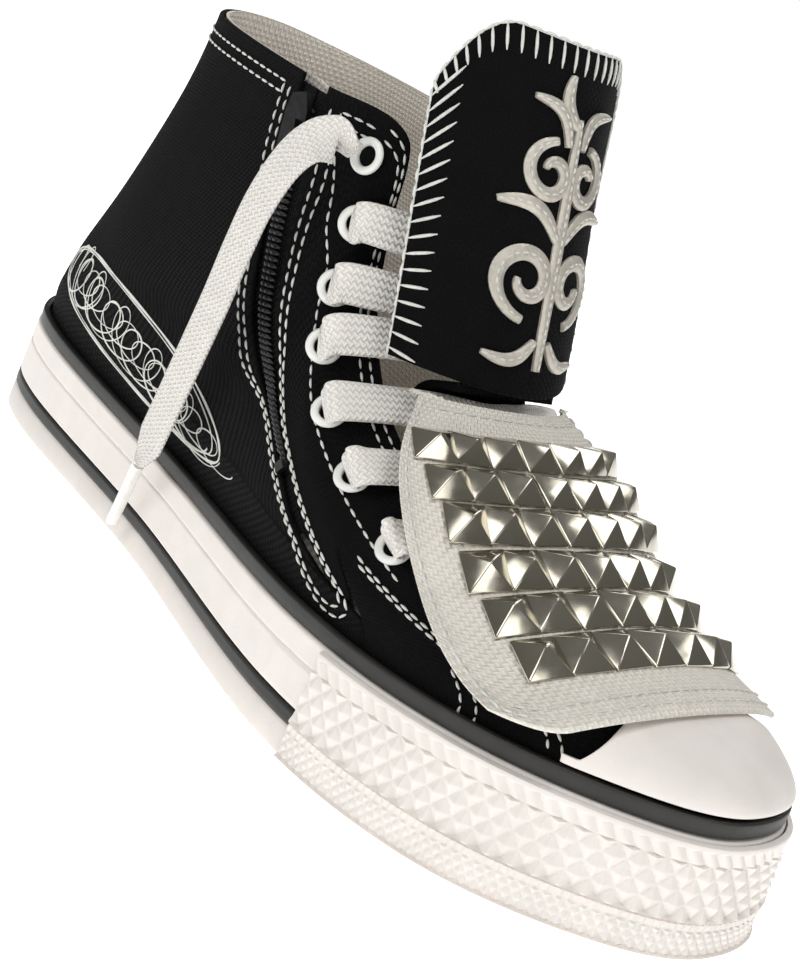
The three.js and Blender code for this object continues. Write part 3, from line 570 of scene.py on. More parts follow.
def threads(name, starts, ends, outs, material, radius, arch=0.25, sides=6, rings=5):
    """Short lengths of thread, each a small arched spindle from its start to its end."""
    starts, ends, outs = (np.asarray(v, float) for v in (starts, ends, outs))
    t = np.linspace(0, 1, rings)[None, :, None, None]
    along = ends - starts
    side = unit(np.cross(along, outs))
    turn = np.linspace(0, 2 * math.pi, sides, endpoint=False)[None, None, :, None]
    thick = radius * (0.35 + 0.65 * np.sin(np.pi * t)**0.5)
    centre = (starts[:, None, None] + along[:, None, None] * t
              + outs[:, None, None] * (arch * radius * 2 * np.sin(np.pi * t)))
    points = centre + thick * (side[:, None, None] * np.cos(turn) + outs[:, None, None] * np.sin(turn))
    cells, _ = quads(sides, rings, True, False)
    spool = np.stack([points[:, r, s] for s in range(sides) for r in range(rings)], 1)
    caps = [[s * rings for s in range(sides)], [s * rings + rings - 1 for s in reversed(range(sides))]]
    faces = []
    for n in range(len(starts)):
        first = n * sides * rings
        faces += (cells + first).tolist() + [[first + i for i in cap] for cap in caps]
    return mesh_object(name, spool, faces, material, sharp=80)


def stitch_run(points, outs, pitch, fill=0.74):
    """Starts, ends and outward directions of the stitches along a line of points."""
    points = np.asarray(points)
    travelled = np.concatenate([[0], np.cumsum(np.linalg.norm(np.diff(points, axis=0), axis=-1))])
    count = max(1, int(travelled[-1] / pitch))
    first = (np.arange(count) + 0.5 * (1 - fill)) * travelled[-1] / count
    last = first + fill * travelled[-1] / count
    pick = lambda where, values: np.stack([np.interp(where, travelled, values[:, k]) for k in range(3)], -1)
    return pick(first, points), pick(last, points), unit(pick((first + last) / 2, np.asarray(outs)))


def join_runs(runs):
    return [np.concatenate(parts) for parts in zip(*runs)]


# ------------------------------------------------------------------ finishes
def add_node(tree, kind, settings=None, links=None):
    """Adds a node; a setting goes to the input of that name or number, or else to the node itself."""
    node = tree.nodes.new(kind)
    for key, value in (settings or {}).items():
        if isinstance(key, int) or key in node.inputs:
            node.inputs[key].default_value = value
        else:
            setattr(node, key, value)
    for key, source in (links or {}).items():
        tree.links.new(source, node.inputs[key])
    return node


def new_finish(name, base, **sockets):
    """A material with its shader, whose constants are set on the shader's own sockets."""
    material = bpy.data.materials.new(name)
    material.use_nodes = True
    tree = material.node_tree
    shader = tree.nodes["Principled BSDF"]
    shader.inputs["Base Color"].default_value = base
    for key, value in sockets.items():
        shader.inputs[key.replace("_", " ")].default_value = value
    return material, tree, shader


def shade_variation(tree, shader, base, scale_mm, low, high):
    """Mottles the base colour between two brightnesses over patches of a size in millimetres."""
    place = add_node(tree, "ShaderNodeTexCoord")
    noise = add_node(tree, "ShaderNodeTexNoise", {"Scale": 1000 / scale_mm, "Detail": 4.0},
                     {"Vector": place.outputs["Object"]})
    ramp = add_node(tree, "ShaderNodeMapRange", {"From Min": 0.3, "From Max": 0.7, "To Min": low, "To Max": high},
                    {"Value": noise.outputs["Fac"]})
    tint = add_node(tree, "ShaderNodeHueSaturation", {"Color": base}, {"Value": ramp.outputs["Result"]})
    tree.links.new(tint.outputs["Color"], shader.inputs["Base Color"])
    return noise, tint


def bump(tree, shader, height, depth_mm):
    made = add_node(tree, "ShaderNodeBump", {"Distance": depth_mm * MM, "Strength": 1.0}, {"Height": height})
    tree.links.new(made.outputs["Normal"], shader.inputs["Normal"])
    return made


def weave_height(tree, thread_mm, twist=0.0):
    """Height of a plain weave: warp and weft threads that pass over each other in a chequer."""
    surface = add_node(tree, "ShaderNodeTexCoord").outputs["UV"]
    if twist:
        surface = add_node(tree, "ShaderNodeMapping", {"Rotation": (0, 0, twist)},
                           {"Vector": surface}).outputs["Vector"]
    band = math.pi / 10 * UV_MM / thread_mm  # a wave's scale for one crest per thread
    warp = add_node(tree, "ShaderNodeTexWave", {"bands_direction": "X", "Scale": band, "Distortion": 0.6,
                                                "Detail Scale": 0.3}, {"Vector": surface})
    weft = add_node(tree, "ShaderNodeTexWave", {"bands_direction": "Y", "Scale": band, "Distortion": 0.6,
                                                "Detail Scale": 0.3}, {"Vector": surface})
    check = add_node(tree, "ShaderNodeTexChecker", {"Scale": UV_MM / thread_mm}, {"Vector": surface})
    return add_node(tree, "ShaderNodeMix", {"data_type": "FLOAT"},
                    {0: check.outputs["Fac"], 2: warp.outputs["Fac"], 3: weft.outputs["Fac"]}).outputs[0]


def noise_at(tree, size_mm, detail):
    """Noise with patches of a size in millimetres."""
    place = add_node(tree, "ShaderNodeTexCoord")
    return add_node(tree, "ShaderNodeTexNoise", {"Scale": 1000 / size_mm, "Detail": detail},
                    {"Vector": place.outputs["Object"]})


def cells_at(tree, size_mm):
    """Distance from the middles of cells of a size in millimetres."""
    place = add_node(tree, "ShaderNodeTexCoord")
    return add_node(tree, "ShaderNodeTexVoronoi", {"Scale": 1000 / size_mm},
                    {"Vector": place.outputs["Object"]}).outputs["Distance"]


def vary_roughness(tree, shader, noise, low, high):
    rough = add_node(tree, "ShaderNodeMapRange", {"To Min": low, "To Max": high}, {"Value": noise.outputs["Fac"]})
    tree.links.new(rough.outputs["Result"], shader.inputs["Roughness"])


def paint_shade_in_thread_gaps(tree, shader, tint, height, low):
    """Painted shade: multiplies the base colour by the height, so that the gaps between threads are darker."""
    shadow = add_node(tree, "ShaderNodeMapRange", {"To Min": low, "To Max": 1.0}, {"Value": height})
    dark = add_node(tree, "ShaderNodeMix", {"data_type": "RGBA", "blend_type": "MULTIPLY", 0: 1.0},
                    {6: tint.outputs["Color"], 7: shadow.outputs["Result"]})
    tree.links.new(dark.outputs[2], shader.inputs["Base Color"])


def mottled(name, base, patch_mm, low, high, depth_mm, **sockets):
    """A plain finish whose colour and height vary together over small patches."""
    material, tree, shader = new_finish(name, base, **sockets)
    noise, _ = shade_variation(tree, shader, base, patch_mm, low, high)
    bump(tree, shader, noise.outputs["Fac"], depth_mm)
    return material


def woven(name, base, thread_mm, depth_mm, variation, sheen, roughness=0.95):
    """Woven cloth: the bump lifts thread by thread with painted shade in the gaps between them, and the colour drifts a
    little from place to place.
    """
    material, tree, shader = new_finish(name, base, Roughness=roughness, Sheen_Weight=sheen, Sheen_Roughness=0.5,
                                        Specular_IOR_Level=0.12)
    _, tint = shade_variation(tree, shader, base, 6.0, 1 - variation, 1 + variation)
    height = weave_height(tree, thread_mm)
    # Painted shade in the gaps between threads, down to 1 - 2.2 x variation of the colour; variation also sets the
    # random drift of tone above.
    paint_shade_in_thread_gaps(tree, shader, tint, height, 1 - 2.2 * variation)
    bump(tree, shader, height, depth_mm)
    return material


def cotton_canvas_black(c):
    # Dyed cotton duck, plain-woven: a dead-matt black with a faint grey sheen on the thread crowns.
    return woven("cotton_duck_black", c.canvas, 0.9, 0.16, 0.16, 0.012)


def cotton_canvas_cream(c):
    # Undyed cotton canvas, heavier threads than the black duck, so its weave shows.
    return woven("cotton_canvas_cream", c.flap, 1.1, 0.3, 0.05, 0.1)


def cotton_drill_lining(c):
    # Brushed cotton drill: soft, pale and slightly fuzzy.
    return woven("cotton_drill_cream", c.lining, 0.9, 0.2, 0.05, 0.3)


def braided_cotton_lace(c):
    # Tubular braid pressed flat: its threads cross on the slant.
    material, tree, shader = new_finish("braided_cotton_white", c.lace, Roughness=0.9, Sheen_Weight=0.2)
    _, tint = shade_variation(tree, shader, c.lace, 5.0, 0.95, 1.03)
    height = weave_height(tree, 1.0, math.radians(45))
    # Painted shade in the gaps between the slanting threads, down to 0.82 of the colour.
    paint_shade_in_thread_gaps(tree, shader, tint, height, 0.82)
    bump(tree, shader, height, 0.3)
    return material


def vulcanised_rubber_white(c):
    # Moulded, vulcanised natural rubber: matt, faintly warm, with fine mould grain and light handling marks.
    material, tree, shader = new_finish("vulcanised_rubber_white", c.rubber, Roughness=0.5, IOR=1.52,
                                        Subsurface_Weight=0.04, Subsurface_Scale=2 * MM)
    noise, _ = shade_variation(tree, shader, c.rubber, 9.0, 0.95, 1.02)
    vary_roughness(tree, shader, noise, 0.42, 0.62)
    bump(tree, shader, noise_at(tree, 0.7, 3.0).outputs["Fac"], 0.06)
    return material


def calendered_rubber_black(c):
    # Rolled rubber strip: satin, with a fine grain and paler, dustier patches.
    material, tree, shader = new_finish("calendered_rubber_black", c.band, Roughness=0.5, IOR=1.52)
    shade_variation(tree, shader, c.band, 7.0, 0.8, 1.25)
    bump(tree, shader, noise_at(tree, 0.9, 4.0).outputs["Fac"], 0.08)
    return material


def nickel_plate(c):
    # Stamped steel, bright nickel-plated: warm mirror faces with slight waviness from the press.
    material, tree, shader = new_finish("nickel_plated_steel", c.stud, Roughness=0.13, Metallic=1.0)
    vary_roughness(tree, shader, noise_at(tree, 2.5, 5.0), 0.07, 0.24)
    bump(tree, shader, noise_at(tree, 7.0, 1.0).outputs["Fac"], 0.25)
    return material


def enamelled_brass(c):
    # Pressed brass ring under white stoving enamel: glossy and very slightly uneven.
    return mottled("stove_enamel_white", c.eyelet, 3.0, 0.93, 1.02, 0.05, Roughness=0.22, Coat_Weight=0.5,
                   Coat_Roughness=0.08)


def spun_polyester_thread(c):
    # Twisted thread: fine uneven shading along each stitch.
    return mottled("spun_polyester_white", c.thread, 1.2, 0.85, 1.05, 0.12, Roughness=0.7, Sheen_Weight=0.3)


def coated_split_leather(c):
    # Foil-coated split leather: satin silver-grey with a fine pebbled grain.
    material, tree, shader = new_finish("coated_split_leather_silver", c.applique, Roughness=0.42, Metallic=0.35)
    shade_variation(tree, shader, c.applique, 5.0, 0.85, 1.12)
    bump(tree, shader, cells_at(tree, 0.9), 0.14)
    return material


def plastisol_print(c):
    # Screen-printed ink that follows the weave below it.
    material, tree, shader = new_finish("plastisol_ink_white", c.thread, Roughness=0.6)
    shade_variation(tree, shader, c.thread, 4.0, 0.82, 1.04)
    bump(tree, shader, weave_height(tree, 0.9), 0.12)
    return material


def moulded_nylon_black(c):
    # Nylon filament wound into a coil: black with a soft gloss on each turn.
    return mottled("nylon_coil_black", linear("#111112"), 2.0, 0.8, 1.3, 0.05, Roughness=0.35)


def lacquered_zinc(c):
    # Die-cast zinc under black lacquer, unevenly rubbed.
    return mottled("lacquered_zinc_black", linear("#1c1c1d"), 2.0, 0.7, 1.7, 0.05, Roughness=0.3, Metallic=0.7)


def acetate_film(c):
    # Acetate film wound tight round the lace end: clear-white and glossy.
    return mottled("acetate_film_white", linear("#f4f2ee"), 1.5, 0.93, 1.02, 0.05, Roughness=0.2, IOR=1.48)


def polyester_tape(c):
    # Knitted polyester tape: tight black weave, a touch shinier than cotton.
    return woven("polyester_tape_black", linear("#0a0a0b"), 0.7, 0.15, 0.15, 0.05, 0.8)


def fibre_board(c):
    # Pressed cellulose board: mottled tan.
    return mottled("cellulose_board_tan", linear("#b9a27c"), 2.5, 0.8, 1.1, 0.1, Roughness=0.9)


def stiffened_buckram(c):
    # Resin-filled cotton: pale, hard and slightly glazed.
    return woven("resin_buckram_grey", linear("#c9bfae"), 1.0, 0.15, 0.08, 0.0, 0.7)


def sponge_rubber(c):
    # Blown rubber: matt and full of small cells.
    material, tree, shader = new_finish("blown_rubber_cream", linear("#c8c0b0"), Roughness=0.9)
    shade_variation(tree, shader, linear("#c8c0b0"), 5.0, 0.9, 1.05)
    bump(tree, shader, cells_at(tree, 1.2), 0.3)
    return material


FINISHES = {
    "black_canvas": cotton_canvas_black, "cream_canvas": cotton_canvas_cream, "lining_cotton": cotton_drill_lining,
    "lace_cotton": braided_cotton_lace, "white_rubber": vulcanised_rubber_white,
    "black_rubber": calendered_rubber_black, "stud_nickel": nickel_plate, "eyelet_enamel": enamelled_brass,
    "thread": spun_polyester_thread, "applique_leather": coated_split_leather, "print": plastisol_print,
    "zip_coil": moulded_nylon_black, "zip_metal": lacquered_zinc, "aglet_film": acetate_film,
    "zip_tape": polyester_tape, "board": fibre_board, "stiffener": stiffened_buckram, "foam": sponge_rubber,
}
made_finishes = {}


def finish_of(slot):
    """The finish for one of the record's material slots, or for thread or print; each is made once."""
    if slot not in made_finishes:
        made_finishes[slot] = FINISHES[slot](bpy.context.scene.shoe_colours)
    return made_finishes[slot]


def settle(piece, body, slot, *nodes):
    """Puts a piece on its body and hides the plain nodes it stands for; the finish slot it is given is not used."""
    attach(piece, body)
    if nodes:
        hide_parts(*nodes)
    return piece


# ------------------------------------------------------------------ stage and camera
CAMERA_PLACE = (260.26, -244.8, 153.27)
CAMERA_RIGHT = (0.585839, 0.733627, 0.344360)
CAMERA_UP = (-0.452404, -0.056503, 0.890021)
CAMERA_LENS = 57.13
SENSOR = 36.0


def add_light(name, place, target, size, power):
    data = bpy.data.lights.new(name, "AREA")
    data.shape, data.size, data.size_y = "RECTANGLE", size[0], size[1]
    data.energy = power
    lamp = bpy.data.objects.new(name, data)
    lamp.visible_camera = False
    aim = Vector(target) - Vector(place)
    lamp.matrix_world = Matrix.Translation(place) @ aim.to_track_quat("-Z", "Y").to_matrix().to_4x4()
    bpy.context.scene.collection.objects.link(lamp)


class SHOE_OT_stage(bpy.types.Operator):
    """Floor, soft studio light and the camera."""
    bl_idname = "shoe.add_stage"
    bl_label = "Stage"

    def execute(self, context):
        scene = context.scene
        right, up = Vector(CAMERA_RIGHT).normalized(), Vector(CAMERA_UP)
        up = (up - right * up.dot(right)).normalized()
        turn = Matrix((right, up, right.cross(up))).transposed().to_4x4()
        data = bpy.data.cameras.new("camera")
        data.sensor_width, data.sensor_fit, data.lens = SENSOR, "AUTO", CAMERA_LENS
        data.clip_start, data.clip_end = 0.01, 50
        camera = bpy.data.objects.new("camera", data)
        camera.matrix_world = Matrix.Translation(Vector(CAMERA_PLACE) * MM) @ turn
        scene.collection.objects.link(camera)
        scene.camera = camera
        scene.view_settings.view_transform = "Standard"

        add_light("key_light", (0.15, -1.5, 1.5), (0, 0, 0.06), (1.3, 1.0), 13)
        add_light("front_light", (1.7, -0.5, 0.8), (0, 0, 0.05), (0.7, 1.1), 6.5)
        add_light("rim_light", (-0.9, 1.3, 1.1), (0, 0, 0.08), (1.1, 0.8), 7.0)
        add_light("top_light", (0.3, 0.1, 1.9), (0.05, 0, 0.05), (0.9, 0.9), 8.5)

        world = bpy.data.worlds.new("studio")
        world.use_nodes = True
        scene.world = world
        tree = world.node_tree
        tree.nodes.clear()
        # A room that is pale above and dim towards the sides, so that metal has something to mirror.
        place = add_node(tree, "ShaderNodeTexCoord")
        split = add_node(tree, "ShaderNodeSeparateXYZ", {}, {0: place.outputs["Generated"]})
        ramp = add_node(tree, "ShaderNodeValToRGB", {}, {0: split.outputs["Z"]})
        ramp.color_ramp.elements[0].color = (0.34, 0.33, 0.31, 1)
        ramp.color_ramp.elements[1].color = (0.62, 0.62, 0.62, 1)
        lighting = add_node(tree, "ShaderNodeBackground", {"Strength": 0.42}, {"Color": ramp.outputs["Color"]})
        plain = add_node(tree, "ShaderNodeBackground", {"Color": (1, 1, 1, 1), "Strength": 1.0})
        seen = add_node(tree, "ShaderNodeLightPath")
        both = add_node(tree, "ShaderNodeMixShader", {}, {
            0: seen.outputs["Is Camera Ray"], 1: lighting.outputs[0], 2: plain.outputs[0]})
        add_node(tree, "ShaderNodeOutputWorld", {}, {"Surface": both.outputs[0]})

        floor_paint, tree, shader = new_finish("matt_paper_white", (0.9, 0.9, 0.9, 1), Roughness=0.95,
                                               Emission_Color=(1, 1, 1, 1), Emission_Strength=0.9)
        shade_variation(tree, shader, (0.9, 0.9, 0.9, 1), 40.0, 0.99, 1.0)
        plane = bpy.data.meshes.new("floor")
        reach = 12.0
        plane.from_pydata([(-reach, -reach, 0), (reach, -reach, 0), (reach, reach, 0), (-reach, reach, 0)], [],
                          [(0, 1, 2, 3)])
        plane.materials.append(floor_paint)
        floor = bpy.data.objects.new("floor", plane)
        floor.location.z = CAD_BOX[0][2] - 0.0002
        scene.collection.objects.link(floor)
        return {"FINISHED"}


# ------------------------------------------------------------------ laces
def lace_points(points, side):
    spread_out = OUTER_SPREAD if side > 0 else 1.0
    return [(x, -side * y * spread_out, z) for x, y, z in points]


class SHOE_OT_lace_ends(bpy.types.Operator):
    """The two free lace ends, each with its tip."""
    bl_idname = "shoe.add_lace_ends"
    bl_label = "Lace Ends"

    def execute(self, context):
        sizes = context.scene.shoe_sizes
        width = sizes.lace_width / MM + 1.5
        thickness = sizes.lace_thickness / MM
        for side, word in ((-1, "medial"), (1, "lateral")):
            path = smooth(lace_points(LACE_END, side))

            def size(t):
                return np.where(t > 0.9, 1 - 0.66 * (t - 0.9) / 0.1, np.clip(0.5 + 5 * t, 0, 1))

            end = ribbon(f"lace_end_{word}", path, wide_beside(path, side), width, thickness,
                         finish_of("lace_cotton"), 200, 24, size)
            tip_path = smooth([tip_start(side), *lace_points(AGLET, side)])
            tip = ribbon(f"aglet_{word}", tip_path, wide_beside(tip_path, side), 3.0, 2.6,
                         finish_of("aglet_film"), 60, 24, lambda t: 1 - 0.28 * t, power=0.8)
            settle(end, "shoe", "lace_cotton", f"lace_end_{word}")
            settle(tip, "shoe", "aglet_film", f"aglet_{word}")
            line = [[v * MM for v in p] for p in path(np.linspace(0, 1, 60)).tolist()]
        return {"FINISHED"}


def tip_start(side):
    """Where the tip begins, just inside the pinched end of the lace."""
    (x0, y0, z0), (x1, y1, z1) = lace_points([LACE_END[-1], AGLET[0]], side)
    return ((x0 + x1) / 2, (y0 + y1) / 2, (z0 + z1) / 2)


def wide_beside(path, side):
    """The direction of a lace end's width, for any place along its path."""
    return lambda t: np.cross(unit(path(t + 0.01) - path(t - 0.01) + 1e-9), np.array([0, side, 0]))


class SHOE_OT_lace_bars(bpy.types.Operator):
    """The lace where it crosses the throat, row by row."""
    bl_idname = "shoe.add_lace_bars"
    bl_label = "Lace Bars"

    def execute(self, context):
        sizes = context.scene.shoe_sizes
        thickness = sizes.lace_thickness / MM
        lift = 1.3 + GAP + thickness / 2
        for row, (forward, up) in BAR_REACH.items():
            station, rise = EYELET_STATIONS[row - 1], EYELET_RISES[row - 1]
            halves = []
            for side in (-1, 1):
                at, out, _ = upper_frame(on_side(side, station), rise)
                halves.append([
                    at - 1.2 * out, at + 0.9 * out + np.array([-0.8, 0, 0]), at + (lift + 0.5) * out,
                    (at[0] + forward * 0.28, at[1] - side * 3 + out[1] * 6.4, at[2] + up * 0.45 + 1),
                    (at[0] + forward * 0.62, side * 19.5, at[2] + up * 0.8 + 0.6),
                    (at[0] + forward * 0.9, side * 9, at[2] + up),
                ])
            middle = (upper_at(station, rise)[0] + forward, 0, upper_at(station, rise)[2] + up)
            path = smooth([*halves[0], middle, *reversed(halves[1])])
            before, after = (upper_at(EYELET_STATIONS[r], EYELET_RISES[r]) for r in (row - 2, row - 1))
            lean = (before - after) * np.array([1, 0, 1])

            def size(t):
                near = np.minimum(t, 1 - t)
                return np.clip(0.34 + 3.6 * near, 0, 1) + 0.02 * np.sin(t * 40 + row)

            bar = ribbon(f"lace_bar_{row}", path, lambda t: np.tile(lean, (len(t), 1)),
                         sizes.lace_width / MM, thickness, finish_of("lace_cotton"), 160, 24, size)
            settle(bar, "shoe", "lace_cotton", f"lace_bar_{row}")
        return {"FINISHED"}


# ------------------------------------------------------------------ sole
def wall_section(low, high, outer_inset, inner_inset, edge, steps):
    """Inset and height share round a band's section, with its outer corners eased."""
    shares = np.linspace(0, 1, steps)
    height = 12.0  # millimetres of wall that a band stands for, near enough for easing its corners
    fall = np.clip(1 - np.minimum(shares, 1 - shares) * height / edge, 0, 1)
    ease = edge * (1 - np.sqrt(1 - fall**2))
    outer = [(outer_inset + e, low + (high - low) * s) for s, e in zip(shares, ease)]
    return outer + [(inner_inset, high), (inner_inset, low)]


def leaning(share):
    return BUMPER_THICKNESS + GAP + WALL_LEAN * share


WALL_INNER = BUMPER_THICKNESS + GAP + WALL_LEAN + WALL_THICKNESS


def sole_band(name, section, slot, relief=None, steps=640):
    """A closed band round the sole; relief(x, share) stands out of its outer face.

    A section row is an inset and a share of the wall's height, measured from the leaning wall, or those two
    and a lift, with the inset then measured from the outline.
    """
    stations = np.linspace(0, STATIONS, steps, endpoint=False)
    rows = []
    for inset, share, *more in section:
        raised = more[0] if more else 0.0
        push = 0.0
        if relief is not None and inset < WALL_INNER - 0.01:
            push = relief(outline_at(stations)[:, 0], share)
        rows.append(sole_at(stations, inset - push + (WALL_LEAN * share if not more else 0), share, raised))
    return settle(loop_grid(name, np.array(rows), finish_of(slot)), "shoe", slot, name)


def wall_relief(x, share):
    """A moulded seam line round the wall, and fine upright ribs behind the bumper."""
    seam = -0.35 * np.exp(-((share - 0.78) / 0.012)**2)
    ribs = 0.28 * (0.5 + 0.5 * np.sin(x * 2 * math.pi / 1.7))
    near = np.clip((x - BUMPER_START_X + 17) / 3, 0, 1) * (0.44 < share < 0.75) * (x < BUMPER_START_X + 2)
    return seam + ribs * near


def sole_plate(name, inset, top_inset, bottom, top, slot, steps, rings, tread=None, edge=0.6):
    """A plate under the foot between two heights, rounded at its edge."""
    stations = np.linspace(0, STATIONS, steps, endpoint=False)
    reach = np.linspace(0, 1, rings)
    rows = []
    for r in reach:
        p = outline_at(stations, inset + edge * (r == 1)) * r
        rows.append(np.column_stack([p, bottom(p[:, 0]) + (tread(p[:, 0], p[:, 1], r) if tread else 0)]))
    p = outline_at(stations, inset)
    rows.append(np.column_stack([p, bottom(p[:, 0]) + edge]))
    p = outline_at(stations, top_inset)
    rows.append(np.column_stack([p, top(p[:, 0]) - edge]))
    for r in reach[::-1][::4] if rings > 12 else reach[::-1]:
        p = outline_at(stations, top_inset + edge * (r == 1)) * r
        rows.append(np.column_stack([p, top(p[:, 0])]))
    return settle(loop_grid(name, np.array(rows), finish_of(slot)), "shoe", slot, name)


def tread_pattern(x, y, r):
    """Grooves pressed up into the tread: a lattice of diamonds inside a plain border."""
    pitch = 8.0
    one, two = ((x + y) / pitch) % 1, ((x - y) / pitch) % 1
    groove = np.minimum(np.minimum(one, 1 - one), np.minimum(two, 1 - two)) < 0.13
    bars = np.abs(((x / 24.0) % 1) - 0.5) < 0.05
    return 1.3 * (groove | bars) * (r < 0.9)


def share_height(share):
    return lambda x: tread_z(x) + (wall_top_z(x) - tread_z(x)) * share


class SHOE_OT_sole(bpy.types.Operator):
    """Tread, stripe, wall, top band, insole and heel patch."""
    bl_idname = "shoe.add_sole"
    bl_label = "Sole"

    def execute(self, context):
        gap_share = GAP / WALL_TOP["waist"]
        face = BUMPER_THICKNESS + GAP
        sole_plate("outsole", face, leaning(OUTSOLE_SHARE), tread_z, share_height(OUTSOLE_SHARE - gap_share),
                   "white_rubber", 420, 60, tread_pattern)
        back = WALL_INNER - WALL_LEAN
        stripe = wall_section(OUTSOLE_SHARE, STRIPE_SHARE - gap_share, face, back, edge=0.3, steps=8)
        sole_band("foxing_stripe", stripe, "black_rubber")
        wall = wall_section(STRIPE_SHARE, 1.0, face, back, edge=0.6, steps=60)
        sole_band("foxing_wall", wall, "white_rubber", wall_relief, 900)
        turn = np.linspace(0, 2 * math.pi, 20, endpoint=False)
        middle = WALL_INNER - BAND_THICKNESS / 2
        band = []
        for angle in turn:
            across, up = math.cos(angle), math.sin(angle)
            across, up = math.copysign(abs(across)**0.5, across), math.copysign(abs(up)**0.35, up)
            band.append((middle - across * BAND_THICKNESS / 2, 1.0,
                         (GAP + BAND_HEIGHT) / 2 + up * (BAND_HEIGHT - GAP) / 2))
        sole_band("top_band", band, "black_rubber")
        board_top = lambda x: wall_top_z(x) - UPPER_SINK - GAP
        sock_inset = FEATHER_INSET - LINING_FACE + LINING + 3 * GAP
        sock = sole_plate("sockliner", sock_inset, sock_inset, lambda x: board_top(x) + GAP,
                          lambda x: board_top(x) + GAP + SOCK_THICKNESS, "lining_cotton", 240, 12, edge=1.2)

        def patch(a, b, offset):
            share = 0.47 + 0.46 * b
            inset = HEEL_FACE_INSET + WALL_LEAN * (share - 0.47)
            return sole_at(a - 0.5, inset - offset, share)

        def pips(a, b):
            lattice = np.abs(np.sin(a * math.pi * 9)) * np.abs(np.sin(b * math.pi * 5))
            inside = (np.minimum(a, 1 - a) > 0.07) & (np.minimum(b, 1 - b) > 0.12)
            return 0.45 * lattice * inside

        plate = sheet_panel("heel_patch", patch, 100, 60, 0.0, -1.0, finish_of("white_rubber"), 0.8, pips)
        settle(plate, "shoe", "white_rubber", "heel_patch")
        return {"FINISHED"}


class SHOE_OT_bumper(bpy.types.Operator):
    """The toe bumper: rim, slanted ribs, raised diamonds, fine ribs and a fine lattice, from top to bottom."""
    bl_idname = "shoe.add_bumper"
    bl_label = "Toe Bumper"

    def execute(self, context):
        pitch = context.scene.shoe_sizes.diamond_pitch / MM
        first = station_at_x(BUMPER_START_X, 4.05, 5.0)
        last = station_at_x(BUMPER_START_X, 9.95, 9.0)
        track = outline_at(np.linspace(first, last, 2000))
        travelled = np.concatenate([[0], np.cumsum(np.linalg.norm(np.diff(track, axis=0), axis=-1))])
        length = travelled[-1]
        cols, rows = 620, 84
        s = np.linspace(0, length, cols)
        station = np.interp(s, travelled, np.linspace(first, last, 2000))
        share = np.linspace(0.01, 0.985, rows)
        s_grid, q = np.meshgrid(s, share)
        height = 25.0

        def pyramids(across, tall):
            one, two = (s_grid / across + q * height / tall) % 1, (s_grid / across - q * height / tall) % 1
            return 1 - 2 * np.maximum(np.abs(one - 0.5), np.abs(two - 0.5))

        diamonds = 0.15 + 1.35 * pyramids(pitch, 5.8)
        lattice = 0.1 + 0.8 * pyramids(pitch / 2, 3.0)
        slanted = 0.45 + 0.65 * np.abs(np.sin((s_grid + q * height * 0.8) * math.pi / (pitch * 0.75)))
        ribs = 0.5 + 0.5 * np.abs(np.sin(s_grid * math.pi / (pitch / 3)))
        relief = np.full_like(q, BUMPER_THICKNESS * 0.9)
        for low, high, shape in ((0.03, 0.245, lattice), (0.26, 0.32, ribs), (0.34, 0.80, diamonds),
                                 (0.82, 0.93, slanted)):
            relief = np.where((q > low) & (q < high), shape, relief)
        for line in (0.252, 0.33, 0.81):
            relief = np.where(np.abs(q - line) < 0.008, 0.2, relief)
        edge = np.clip(np.minimum(np.minimum(s_grid, length - s_grid) / 0.8,
                                  np.minimum(q - 0.01, 0.985 - q) * height / 0.6), 0, 1)
        relief = relief * (0.25 + 0.75 * np.sqrt(1 - (1 - edge)**2))
        front = sole_at(np.broadcast_to(station, q.shape), BUMPER_THICKNESS + WALL_LEAN * q - relief, q)
        back = sole_at(np.broadcast_to(station, q.shape), BUMPER_THICKNESS + WALL_LEAN * q - 0.02, q)
        bumper = shell("toe_bumper", front, back, finish_of("white_rubber"), sharp=28)
        settle(bumper, "shoe", "white_rubber", "toe_bumper")
        return {"FINISHED"}


# ------------------------------------------------------------------ upper
CUT_EDGE = 0.6  # over this width a canvas panel's edge is eased


def folds(station, rise):
    """Soft creases of worn canvas: round the ankle and across the instep."""
    ankle = np.exp(-((rise - 0.42) / 0.16)**2)
    return 0.3 * ankle * np.sin(station * 7 + 9 * rise) + 0.18 * np.sin(station * 3.1 - 13 * rise) * (rise > 0.15)


def calm(rise):
    """How free the canvas is to crease: not at all where it is held by the sole or by the collar."""
    return np.clip((rise - 0.2) / 0.2, 0, 1) * np.clip((1 - rise) / 0.15, 0, 1)


def canvas_piece(name, place, cols, rows, thickness=CANVAS, lift=0.0):
    """A canvas panel; place(a, b) gives its stations and height shares."""
    def bent(a, b, offset):
        station, rise = place(a, b)
        return upper_at(station, rise, offset + folds(station, rise) * calm(rise))
    made = sheet_panel(name, bent, cols, rows, lift, lift - thickness, finish_of("black_canvas"), CUT_EDGE)
    return settle(made, "shoe", "black_canvas", name)


def quarter_front_edge(rise):
    return 4.95 + 0.55 * np.clip((rise - SEAM_RISE) / (1 - SEAM_RISE), 0, 1)


def vamp_top(station):
    seam = SEAM_RISE - 0.012
    from_toe = np.abs(station - 7)
    climb = np.clip((7 - 4.95 - from_toe) / (5.5 - 4.95), 0, 1)
    return np.where(from_toe > 7 - 4.95, seam, seam + (0.995 - seam) * climb)


def zip_half(rise):
    opened = np.clip((rise - ZIP_BOTTOM_RISE + 0.04) / 0.04, 0, 1)
    half = GAP / 2 + (ZIP_OPENING / 2 - GAP / 2) * opened
    return half * stations_per_mm(zip_station(rise), rise)


